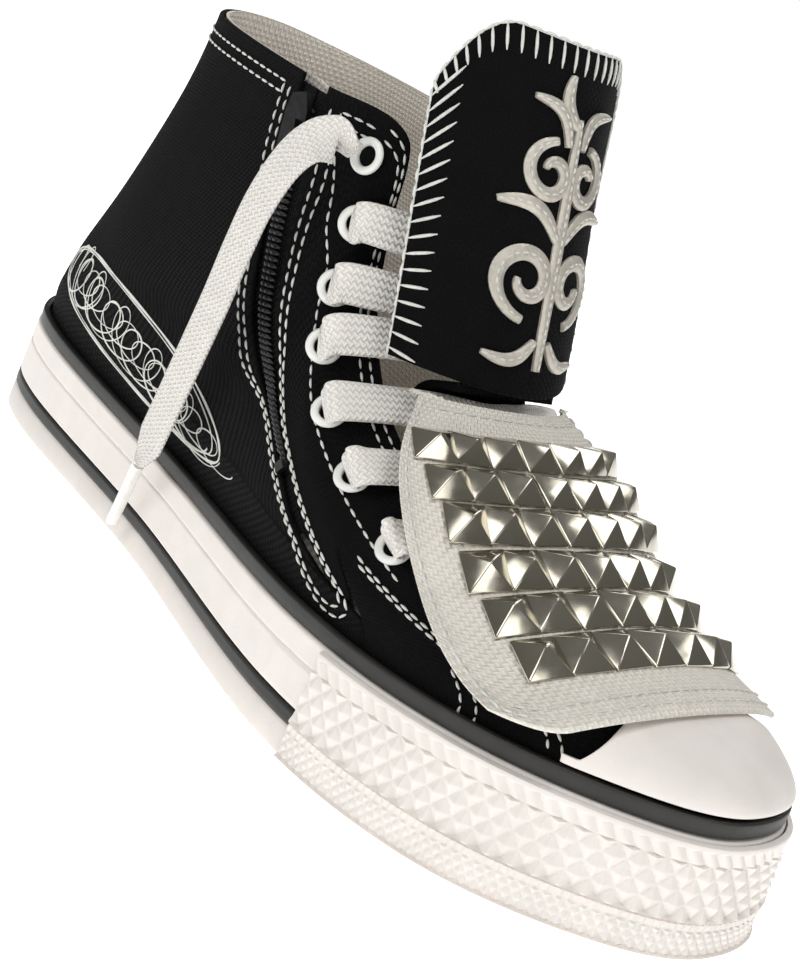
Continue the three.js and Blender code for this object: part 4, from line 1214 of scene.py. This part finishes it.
class SHOE_OT_upper(bpy.types.Operator):
    """Canvas quarters, vamp, backstay, lining and rubber toe cap."""
    bl_idname = "shoe.add_upper"
    bl_label = "Upper"

    def execute(self, context):
        join = 0.012

        def heel(a, b):
            beside = zip_station(b) - zip_half(b)
            rear = np.where(b < ZIP_BOTTOM_RISE - 0.04, VAMP_STATION - join, beside)
            return join + (rear - join) * a, b

        canvas_piece("quarter_heel_medial", heel, 150, 110)

        def front(a, b):
            foot = 0.265 + 0.125 * np.clip((a - 0.17) / 0.28, 0, 1)
            rise = foot + (1 - foot) * b
            rear = zip_station(rise) + zip_half(rise)
            return rear + (quarter_front_edge(rise) - join - rear) * a, rise

        canvas_piece("quarter_front_medial", front, 90, 90)

        def outer(a, b):
            station = STATIONS - 4.95 + (4.95 - join) * a
            foot = SEAM_RISE * np.clip((VAMP_END + 0.33 - station) / 0.3, 0, 1)
            rise = foot + 0.004 * (1 - b) + (1 - foot) * b * 0.996
            edge = STATIONS - quarter_front_edge(rise) + join
            return edge + (STATIONS - join - edge) * a, rise

        canvas_piece("quarter_lateral", outer, 200, 110)

        def vamp(a, b):
            station = VAMP_STATION - 0.02 + (VAMP_END - VAMP_STATION + 0.02) * a
            return station, b * (vamp_top(station) + 0.02)

        canvas_piece("vamp", vamp, 220, 60, lift=-0.15)

        def strap(a, b):
            low = rise_above(0.0, BAND_HEIGHT + 2 * GAP)
            return 0.3 * (2 * a - 1), low + (0.99 - low) * b

        canvas_piece("backstay", strap, 24, 110, thickness=0.9, lift=2 * GAP + 0.9)

        lining_top = keyed([
            (0, 1), (2.8, 1), (3.2, 0.9), (3.7, 0.62), (4.4, 0.5), (5, 0.46), (5.6, 0.66), (7, 0.8), (8.4, 0.66),
            (9, 0.46), (9.6, 0.5), (10.3, 0.62), (10.8, 0.9), (11.2, 1)], STATIONS)
        station, v = np.meshgrid(np.linspace(0, STATIONS, 360, endpoint=False), np.linspace(0, 1, 60))
        rise = np.clip(0.01 + (lining_top(station)[..., 0] - 0.01) * v, 0, 1)
        side = np.minimum(station, STATIONS - station)
        looser = 2 * np.clip((side - 2.2) / 0.6, 0, 1) * np.clip((5.4 - side) / 0.6, 0, 1)
        face = LINING_FACE - looser * v
        # The lining comes out to meet the canvas where both are sewn together at the collar.
        at_collar = np.clip((rise - 0.93) / 0.07, 0, 1) * np.clip((3.0 - side) / 0.3, 0, 1)
        face = face + (INNER_LAYER + 0.5 - face) * at_collar**2
        inside = shell("lining", upper_at(station, rise, face), upper_at(station, rise, face - LINING),
                       finish_of("lining_cotton"), wrap=True)
        settle(inside, "shoe", "lining_cotton", "lining")

        def cap(a, b, offset):
            station = 5.5 + 3 * a
            low = rise_above(station, BAND_HEIGHT + GAP + 0.4)
            high = np.maximum(rise_at_x(station, 103), low + 0.03)
            return upper_at(station, low + (high - low) * b, offset)

        toe = sheet_panel("toe_cap", cap, 160, 60, PLY_GAP + TOE_CAP_THICKNESS, PLY_GAP, finish_of("white_rubber"),
                          1.0)
        settle(toe, "shoe", "white_rubber", "toe_cap")
        return {"FINISHED"}


class SHOE_OT_eyelets(bpy.types.Operator):
    """Enamelled rings, rolled over the canvas on both sides of the throat."""
    bl_idname = "shoe.add_eyelets"
    bl_label = "Eyelets"

    def execute(self, context):
        outer = context.scene.shoe_sizes.eyelet_outer / MM / 2
        inner, barrel = 2.3, EYELET_HOLE / 2 - GAP
        roll = [(inner + (outer - inner) * (0.5 - 0.5 * math.cos(t)), 0.45 + 0.95 * math.sin(t))
                for t in np.linspace(0, math.pi, 16)]
        profile = [(inner, -CANVAS), *roll, (barrel, 0.45), (barrel, -CANVAS)]
        turn = np.linspace(0, 2 * math.pi, 48, endpoint=False)
        for side, word in ((-1, "medial"), (1, "lateral")):
            for n, (station, rise) in enumerate(zip(EYELET_STATIONS, EYELET_RISES)):
                at, out, up = upper_frame(on_side(side, station), rise)
                across = np.cross(up, out)
                points = np.array([[at + out * h + (across * math.cos(t) + up * math.sin(t)) * r for t in turn]
                                   for r, h in profile])
                name = f"eyelet_{word}_{n + 1}"
                settle(loop_grid(name, points, finish_of("eyelet_enamel")), "shoe", "eyelet_enamel", name)
        return {"FINISHED"}


# ------------------------------------------------------------------ zip
def zip_beside(side, near, rise, offset):
    centre = zip_station(rise)
    return upper_at(centre + side * near * stations_per_mm(centre, rise), rise, offset)


class SHOE_OT_zip(bpy.types.Operator):
    """Zip tapes, the two coils of teeth, and the slider, pull and stop."""
    bl_idname = "shoe.add_zip"
    bl_label = "Zip"

    def execute(self, context):
        for side, word in ((1, "front"), (-1, "rear")):
            def tape(a, b, offset, side=side):
                rise = 0.3 + 0.685 * b
                return zip_beside(side, 0.5 + ZIP_TAPE_WIDTH * a, rise, offset)
            piece = sheet_panel(f"zip_tape_{word}", tape, 30, 160, INNER_LAYER + 0.4, INNER_LAYER - 0.4,
                                finish_of("zip_tape"))
            settle(piece, "shoe", "zip_tape", f"zip_tape_{word}")
            line = np.linspace(0.395, 0.955, 500)
            middle = zip_beside(side, 1.3, line, -0.6)
            travelled = np.concatenate([[0], np.cumsum(np.linalg.norm(np.diff(middle, axis=0), axis=-1))])
            pitch = 1.5
            where = np.interp(np.arange(pitch * (0.5 if side > 0 else 1.0), travelled[-1], pitch), travelled, line)
            starts, ends = zip_beside(side, -0.35, where, -0.35), zip_beside(side, COIL_WIDTH, where, -0.75)
            outs = upper_normal(zip_station(where), where)
            coil = threads(f"zip_coil_{word}", starts, ends, outs, finish_of("zip_coil"), 0.62, 0.5, 8, 6)
            settle(coil, "shoe", "zip_coil", f"zip_coil_{word}")
        for name in ("zip_slider", "zip_pull", "zip_bottom_stop"):
            carry_over(name, "zip_metal", 0.35)
        return {"FINISHED"}


def carry_over(name, slot, bevel_mm=0.0):
    """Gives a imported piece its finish, and eases its edges where asked."""
    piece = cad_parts[name]
    piece.data.materials.clear()
    piece.data.materials.append(finish_of(slot))
    if bevel_mm:
        ease = piece.modifiers.new("eased_edges", "BEVEL")
        ease.width, ease.segments, ease.limit_method = bevel_mm * MM, 3, "ANGLE"
        ease.angle_limit = math.radians(30)


class SHOE_OT_inside(bpy.types.Operator):
    """Finishes of the pieces hidden inside: midsole, lasting board, counter and toe puff."""
    bl_idname = "shoe.finish_inside"
    bl_label = "Hidden Pieces"

    def execute(self, context):
        for name, slot in (("midsole_core", "foam"), ("lasting_board", "board"), ("heel_counter", "stiffener"),
                           ("toe_puff", "stiffener")):
            carry_over(name, slot)
        return {"FINISHED"}


# ------------------------------------------------------------------ tongue
class SHOE_OT_tongue(bpy.types.Operator):
    """The standing tongue with its overlocked edge, and the tongue's lower part under the laces."""
    bl_idname = "shoe.add_tongue"
    bl_label = "Tongue"

    def execute(self, context):
        def standing(a, b, offset):
            across = 2 * a - 1
            wave = 0.5 * np.sin(b * 5 + across * 2) * np.clip(b * 3, 0, 1)
            return tongue_at(across, b, offset + wave)

        upper = sheet_panel("tongue_upper", standing, 110, 130, 0.0, -TONGUE_THICKNESS, finish_of("black_canvas"),
                            1.3)
        settle(upper, "tongue", "black_canvas", "tongue_upper")
        lower_path = smooth([(x, 0, z) for x, z in (
            (74, 47), (62, 51), (50, 55.5), (38, 60), (28.5, 65), (26, 70.5), (29.5, 74.6), (38.5, 77))])

        def under(a, b, offset):
            y = 2 * a - 1
            at = lower_path(b)
            along = unit(lower_path(b + 0.01) - lower_path(b - 0.01))
            out = np.cross(np.array([0, 1, 0]), along)
            sag = -2.5 * y * y * (1 - b)
            p = at + out * (offset - sag)[..., None]
            return np.stack([p[..., 0], y * LOWER_TONGUE_HALF, p[..., 2]], -1)

        lower = sheet_panel("tongue_lower", under, 50, 120, 0.0, -1.6, finish_of("black_canvas"))
        settle(lower, "shoe", "black_canvas", "tongue_lower")

        pitch = 3.3
        edge = [(-1.0, b) for b in np.linspace(0.0, 1, 90)] + [(a, 1.0) for a in np.linspace(-1, 1, 120)[1:-1]]
        edge += [(1.0, b) for b in np.linspace(1, 0.0, 90)]
        edge = np.array(edge)
        rim = standing((edge[:, 0] + 1) / 2, edge[:, 1], np.full(len(edge), -0.3))
        travelled = np.concatenate([[0], np.cumsum(np.linalg.norm(np.diff(rim, axis=0), axis=-1))])
        where = np.arange(pitch / 2, travelled[-1], pitch)
        a, b = np.interp(where, travelled, edge[:, 0]), np.interp(where, travelled, edge[:, 1])
        reach = 4.2
        at_top = b > 0.995
        inward_a = a * np.where(at_top, 0.97, 1 - reach / TONGUE_HALF)
        inward_b = np.where(at_top, 1 - reach / 72, b) - 0.02
        runs = []
        for face in (0.15, -TONGUE_THICKNESS - 0.15):
            outer = standing((a + 1) / 2, b, np.full(len(a), face * 0.6 - 0.1))
            inner = standing((inward_a + 1) / 2, np.clip(inward_b, 0, 1), np.full(len(a), face))
            normal = unit(standing((a + 1) / 2, b, np.full(len(a), 1.0)) - standing((a + 1) / 2, b, 0 * a))
            runs.append((outer, inner, normal * (1 if face > 0 else -1)))
        chain = stitch_run(rim, unit(rim - tongue_at(0, 0.5, -10.0)), pitch, 1.05)
        runs.append(chain)
        radius = context.scene.shoe_sizes.thread_radius / MM
        piece = threads("tongue_overlock", *join_runs(runs), finish_of("thread"), radius * 1.25, 0.3)
        settle(piece, "tongue", "lace_cotton")
        return {"FINISHED"}


def scroll(centre, start_radius, end_radius, start_turn, turns):
    """Points of a spiral in the plane of the tongue, in millimetres across and up."""
    t = np.linspace(0, 1, 60)
    angle = 2 * math.pi * (start_turn + turns * t)
    radius = start_radius + (end_radius - start_radius) * t**0.8
    return np.column_stack([centre[0] + radius * np.cos(angle), centre[1] + radius * np.sin(angle)])


def leaf(root, tip, bow):
    """Points along a bowed line from a root to a tip."""
    t = np.linspace(0, 1, 30)[:, None]
    root, tip = np.array(root, float), np.array(tip, float)
    side = np.array([-(tip - root)[1], (tip - root)[0]])
    return root + (tip - root) * t + side * bow * np.sin(np.pi * t)


class SHOE_OT_ornament(bpy.types.Operator):
    """A cut-out scroll of coated leather on the tongue, sewn down along its middle."""
    bl_idname = "shoe.add_ornament"
    bl_label = "Tongue Ornament"

    def execute(self, context):
        strokes = []
        for side in (-1, 1):
            strokes += [
                (scroll((side * 6.5, 24), 8.2, 2.2, 0.75, side * 1.25), 3.4),
                (scroll((side * 5.0, 46), 6.6, 1.8, 0.25, -side * 1.2), 3.0),
                (leaf((side * 1.0, 33), (side * 15.5, 38), side * 0.22), 3.2),
                (leaf((side * 2.0, 12), (side * 13.5, 7.5), -side * 0.2), 2.8),
                (leaf((side * 2.0, 52), (side * 11.5, 60), side * 0.25), 2.6),
            ]
        strokes += [(leaf((0, 6), (0, 58), 0.0), 3.2), (leaf((0, 56), (-3.5, 66), 0.2), 3.0)]
        runs, grids = [], []
        height = TONGUE_TOP_Z - TONGUE_BASE_Z
        for line, width in strokes:
            ahead = unit(np.gradient(line, axis=0))
            side = np.column_stack([-ahead[:, 1], ahead[:, 0]])
            t = np.linspace(0, 1, len(line))
            reach = width / 2 * (0.25 + 0.75 * np.sin(np.pi * np.clip(t * 0.9 + 0.08, 0, 1))**0.6)
            rows = np.linspace(-1, 1, 7)
            flat = line[None] + side[None] * (rows[:, None] * reach[None])[..., None]
            crown = GAP + 1.0 - 0.5 * np.abs(rows[:, None])**4 + 0 * flat[..., 0]
            on = lambda p, lift: tongue_at(p[..., 0] / TONGUE_HALF, p[..., 1] / height, lift)
            grids.append(np.concatenate([on(flat, crown), on(flat, 0 * crown + GAP * 0.4)[::-1]]))
            middle = on(line, np.full(len(line), GAP + 1.05))
            runs.append(stitch_run(middle, middle - on(line, np.zeros(len(line))), 1.9, 0.66))
        piece = strips("tongue_ornament", grids, finish_of("applique_leather"))
        settle(piece, "tongue", "applique_leather", "tongue_ornament")
        radius = context.scene.shoe_sizes.thread_radius / MM
        sewn = threads("ornament_stitching", *join_runs(runs), finish_of("thread"), radius * 0.75)
        settle(sewn, "tongue", "lace_cotton")
        return {"FINISHED"}


# ------------------------------------------------------------------ flap and studs
def on_flap(across, down, offset):
    """A place on the flap, whose hem is drawn up at its two corners."""
    corner = 1 - 0.1 * np.clip((np.abs(across) - 0.7) / 0.3, 0, 1)**2
    return flap_at(across, down * corner, offset)


class SHOE_OT_flap(bpy.types.Operator):
    """The canvas flap folded down over the laces, with its hem, edge stitching and frayed top corners."""
    bl_idname = "shoe.add_flap"
    bl_label = "Flap"

    def execute(self, context):
        sizes = context.scene.shoe_sizes

        def lie(a, b, offset):
            across = 2 * a - 1
            edge = np.clip((np.abs(across) - 0.86) / 0.14, 0, 1) + np.clip((b - 0.93) / 0.07, 0, 1)
            wave = 0.35 * np.sin(b * 23 + across * 3) * np.clip(edge, 0, 1)
            return on_flap(across, b, offset + wave)

        cloth = sheet_panel("studded_flap", lie, 170, 170, 0.0, -FLAP_THICKNESS, finish_of("cream_canvas"), 0.8)
        settle(cloth, "flap", "cream_canvas", "studded_flap")

        pitch, radius = sizes.stitch_pitch / MM, sizes.thread_radius / MM
        line = np.linspace(0, 1, 120)
        runs = []
        for inset in (2.4, 5.0):
            across = 1 - inset / 38
            low = 1 - inset / FLAP_LENGTH
            for side in (-1, 1) if inset < 3 else ():
                path = (np.full(120, side * across), 0.02 + (low - 0.02) * line)
                runs.append(path)
            runs.append((across * (2 * line - 1), np.full(120, low)))
        runs.append(((2 * line - 1) * 0.93, np.full(120, 3.6 / FLAP_LENGTH)))
        made = []
        for across, down in runs:
            top = lie((across + 1) / 2, down, np.full(120, 0.1))
            out = lie((across + 1) / 2, down, np.full(120, 1.1)) - top
            made.append(stitch_run(top, out, pitch))
        sewn = threads("flap_stitching", *join_runs(made), finish_of("thread"), radius)
        settle(sewn, "flap", "lace_cotton")

        # Loose threads where the folded hem has frayed at its two corners and along its fold.
        chance = np.random.default_rng(7)
        starts, ends, outs = [], [], []
        for _ in range(150):
            side = -1 if chance.random() < 0.6 else 1
            across = side * (1 - 0.3 * chance.random()**2)
            root = lie(np.array((across + 1) / 2), np.array(0.004), np.array(-0.4))
            away = np.array([-0.3 - chance.random(), side * chance.random() * 1.2, 0.4 * chance.random() - 0.2])
            starts.append(root)
            ends.append(root + away * (1.0 + 1.2 * chance.random()))
            outs.append((0.2, 0.1, 1.0))
        fray = threads("flap_fray", starts, ends, unit(np.array(outs)), finish_of("cream_canvas"), 0.14, 1.2, 5, 5)
        settle(fray, "flap", "cream_canvas")
        return {"FINISHED"}


def stud_template(side, height):
    """One pressed pyramid stud, in millimetres, its ridges and foot eased."""
    shape = bmesh.new()
    half = side / 2
    foot = [shape.verts.new(p) for p in ((-half, -half, 0), (half, -half, 0), (half, half, 0), (-half, half, 0))]
    rim = [shape.verts.new((v.co.x, v.co.y, 0.55)) for v in foot]
    peak = shape.verts.new((0, 0, height))
    shape.faces.new(list(reversed(foot)))
    for i in range(4):
        j = (i + 1) % 4
        shape.faces.new((foot[i], foot[j], rim[j], rim[i]))
        shape.faces.new((rim[i], rim[j], peak))
    bmesh.ops.bevel(shape, geom=shape.edges[:], offset=0.28, segments=3, profile=0.5, affect="EDGES",
                    clamp_overlap=True)
    shape.verts.index_update()
    points = np.array([v.co[:] for v in shape.verts])
    faces = [[v.index for v in f.verts] for f in shape.faces]
    shape.free()
    return points, faces


class SHOE_OT_studs(bpy.types.Operator):
    """Nickel pyramid studs, row by row, each clinched square to the cloth."""
    bl_idname = "shoe.add_studs"
    bl_label = "Studs"

    def execute(self, context):
        sizes = context.scene.shoe_sizes
        side_mm = sizes.stud_side / MM
        template, faces = stud_template(side_mm, sizes.stud_height / MM)
        chance = np.random.default_rng(11)
        for row in range(STUD_ROWS):
            down = (STUD_TOP_MARGIN + (row + 0.5) * STUD_ROW_PITCH) / FLAP_LENGTH
            reach = STUD_COLUMNS * STUD_PITCH / 2 / (
                np.linalg.norm(flap_at(0, down) - flap_at(0.5, down)) * 2.03)
            # Each stud fills its cell, with a thin line of cloth left between neighbours.
            half_row = STUD_ROW_PITCH / 2 / FLAP_LENGTH
            deep = np.linalg.norm(flap_at(0, down + half_row) - flap_at(0, down - half_row))
            wide = 2 * np.linalg.norm(flap_at(0, down) - flap_at(reach / STUD_COLUMNS, down))
            fill = np.clip([wide * 0.96 / side_mm, deep * 0.93 / side_mm, 1], 0.9, 1.15)
            points, corners = [], []
            for column in range(STUD_COLUMNS):
                across = reach * (2 * (column + 0.5) / STUD_COLUMNS - 1)
                at, out = flap_at(across, down, 0.1), flap_normal(np.array(across), np.array(down))
                side = unit(flap_face(across + 0.02, down) - flap_face(across - 0.02, down))
                side = unit(side - out * np.dot(side, out))
                lean = math.radians(chance.uniform(-2.5, 2.5))
                twist = math.radians(chance.uniform(-2.0, 2.0))
                out = unit(out + side * math.sin(lean))
                side = unit(side - out * np.dot(side, out))
                fore = np.cross(out, side)
                side, fore = (side * math.cos(twist) + fore * math.sin(twist),
                              fore * math.cos(twist) - side * math.sin(twist))
                local = (template * fill) @ np.array([side, fore, out])
                corners += [[i + len(points) * len(template) for i in f] for f in faces]
                points.append(at + local)
            name = f"stud_row_{row + 1}"
            piece = mesh_object(name, np.concatenate(points), corners, finish_of("stud_nickel"), sharp=20)
            settle(piece, "flap", "stud_nickel", name)
        return {"FINISHED"}


# ------------------------------------------------------------------ stitching and print on the canvas
def canvas_run(station, rise, pitch):
    """Stitches lying on the canvas along a line of stations and height shares."""
    at = upper_at(station, rise, 0.12 + folds(station, rise) * calm(rise))
    return stitch_run(at, upper_normal(station, rise), pitch)


class SHOE_OT_stitching(bpy.types.Operator):
    """Twin rows of stitches: collar, facings, round the zip, along the seams, and the bar tacks."""
    bl_idname = "shoe.add_stitching"
    bl_label = "Stitching"

    def execute(self, context):
        sizes = context.scene.shoe_sizes
        pitch, radius = sizes.stitch_pitch / MM, sizes.thread_radius / MM
        runs = []
        line = np.linspace(0, 1, 200)
        near_collar = np.full(200, 0.97)
        for step in (4.0, 6.6):
            # Collar, on each side of the zip and round the outer side.
            for low, high in ((0.35, 2.72), (3.12, 3.28), (10.72, 13.65)):
                station = low + (high - low) * line
                runs.append(canvas_run(station, 1 - step * rises_per_mm(station, near_collar), pitch))
            # Front edge of each facing, from the collar down to the vamp.
            station = 3.32 + (4.9 - 3.32) * line
            for side in (-1, 1):
                where = on_side(side, station)
                runs.append(canvas_run(where, 1 - (step - 1.8) * rises_per_mm(where, near_collar), pitch))
        foot = 0.27  # height share at which the rows turn below the zip
        foot_of_zip = zip_station(np.array(foot))
        for reach in (3.0, 5.6):
            # Both sides of the zip and the turn below it.
            rise = 0.97 - (0.97 - foot) * line
            for side in (-1, 1):
                centre = zip_station(rise)
                half = (ZIP_OPENING / 2 + reach) * stations_per_mm(centre, rise)
                runs.append(canvas_run(centre + side * half, rise, pitch))
            turn = np.linspace(0, math.pi, 60)
            size = ZIP_OPENING / 2 + reach
            across = size * np.cos(turn) * stations_per_mm(foot_of_zip, foot)
            down = size * 1.1 * np.sin(turn) * rises_per_mm(foot_of_zip, foot)
            runs.append(canvas_run(foot_of_zip + across, foot - down, pitch))
            # Seam of the quarters over the vamp, inner and outer side.
            for side in (-1, 1):
                station = 4.5 + 0.47 * line
                rise = SEAM_RISE + 0.012 + (reach - 2.0) * rises_per_mm(station, np.full(200, 0.4))
                runs.append(canvas_run(on_side(side, station), rise, pitch))
        # Second row of each facing, behind the eyelets.
        stations = np.array(EYELET_STATIONS)
        rises = np.array(EYELET_RISES)
        back = np.interp(line * 6, range(7), stations), np.interp(line * 6, range(7), rises)
        for side in (-1, 1):
            rise = back[1] - 8.0 * rises_per_mm(back[0], back[1]) * np.clip(line * 3, 0, 1)
            behind = 7.5 * stations_per_mm(back[0], back[1]) * np.clip(1 - line * 2.2, 0, 1)
            station = back[0] - 0.03 * (1 - line) - behind
            runs.append(canvas_run(on_side(side, station), rise, pitch))
        # Backstay edges.
        rise = 0.27 + 0.7 * line
        for side in (-1, 1):
            at = upper_at(side * 0.24, rise, 2 * GAP + 1.0)
            runs.append(stitch_run(at, upper_normal(side * 0.24, rise), pitch))
        # Bar tacks beside the seam and beside the toe cap.
        for station, low in ((4.93, 0.2), (5.02, 0.2), (5.42, 0.3), (5.5, 0.3)):
            for side in (-1, 1):
                rise = low + 0.16 * np.linspace(0, 1, 20)
                runs.append(canvas_run(np.full(20, on_side(side, station)), rise, pitch * 0.7))
        sewn = threads("upper_stitching", *join_runs(runs), finish_of("thread"), radius)
        settle(sewn, "shoe", "lace_cotton")
        return {"FINISHED"}


class SHOE_OT_heel_print(bpy.types.Operator):
    """A loose printed scribble of loops at the inner side of the heel; it spells nothing."""
    bl_idname = "shoe.add_heel_print"
    bl_label = "Heel Print"

    def execute(self, context):
        t = np.linspace(0, 1, 520)
        ring = 2 * math.pi * t
        strokes = []
        for turn, size, width in ((0.0, 1.0, 0.8), (0.35, 0.93, 0.45)):
            strokes.append((2.45 + 0.85 * size * np.cos(ring + turn),
                            0.29 + 0.105 * size * np.sin(ring + turn) - 0.055 * np.cos(ring + turn), width))
        for start, loops, tall, width in ((1.75, 7, 0.075, 0.6), (1.95, 10, 0.05, 0.4), (1.85, 5, 0.09, 0.35)):
            turns = 2 * math.pi * loops * t
            strokes.append((start + 1.35 * t + 0.11 * np.cos(turns),
                            0.335 - 0.11 * t + tall * np.sin(turns) * (1 - 0.4 * t), width))
        grids = []
        for station, rise, width in strokes:
            lift = 0.06 + folds(station, rise) * np.clip((rise - 0.2) / 0.2, 0, 1)
            at, out = upper_at(station, rise, lift), upper_normal(station, rise)
            along = unit(np.gradient(at, axis=0))
            side = unit(np.cross(along, out)) * (width * (0.55 + 0.45 * np.sin(t * 45)**2))[:, None] / 2
            grids.append(np.array([at - side, at + side, at + side + out * 0.12, at - side + out * 0.12]))
        ink = strips("heel_print", grids, finish_of("print"), mapped=False)
        settle(ink, "shoe", "lace_cotton")
        return {"FINISHED"}


# ------------------------------------------------------------------ sidebar and registration
OPERATORS = (
    SHOE_OT_stage, SHOE_OT_lace_ends, SHOE_OT_lace_bars, SHOE_OT_sole, SHOE_OT_bumper, SHOE_OT_upper,
    SHOE_OT_eyelets, SHOE_OT_zip, SHOE_OT_inside, SHOE_OT_tongue, SHOE_OT_ornament, SHOE_OT_flap, SHOE_OT_studs,
    SHOE_OT_stitching, SHOE_OT_heel_print,
)


class SHOE_PT_sidebar(bpy.types.Panel):
    """The shoe's sizes and colours, and a button for each group of pieces."""
    bl_idname = "SHOE_PT_sidebar"
    bl_label = "Platform High-top"
    bl_space_type = "VIEW_3D"
    bl_region_type = "UI"
    bl_category = "Shoe"

    def draw(self, context):
        for group in (context.scene.shoe_sizes, context.scene.shoe_colours):
            box = self.layout.box()
            for name in group.__annotations__:
                box.prop(group, name)
        for operator in OPERATORS:
            self.layout.operator(operator.bl_idname)


CLASSES = (ShoeSizes, ShoeColours, *OPERATORS, SHOE_PT_sidebar)


def register():
    for each in CLASSES:
        bpy.utils.register_class(each)
    bpy.types.Scene.shoe_sizes = bpy.props.PointerProperty(type=ShoeSizes)
    bpy.types.Scene.shoe_colours = bpy.props.PointerProperty(type=ShoeColours)


def unregister():
    del bpy.types.Scene.shoe_colours
    del bpy.types.Scene.shoe_sizes
    for each in reversed(CLASSES):
        bpy.utils.unregister_class(each)


def main():
    register()
    for operator in OPERATORS:
        group, name = operator.bl_idname.split(".")
        getattr(getattr(bpy.ops, group), name)()


if __name__ == "__main__":
    main()
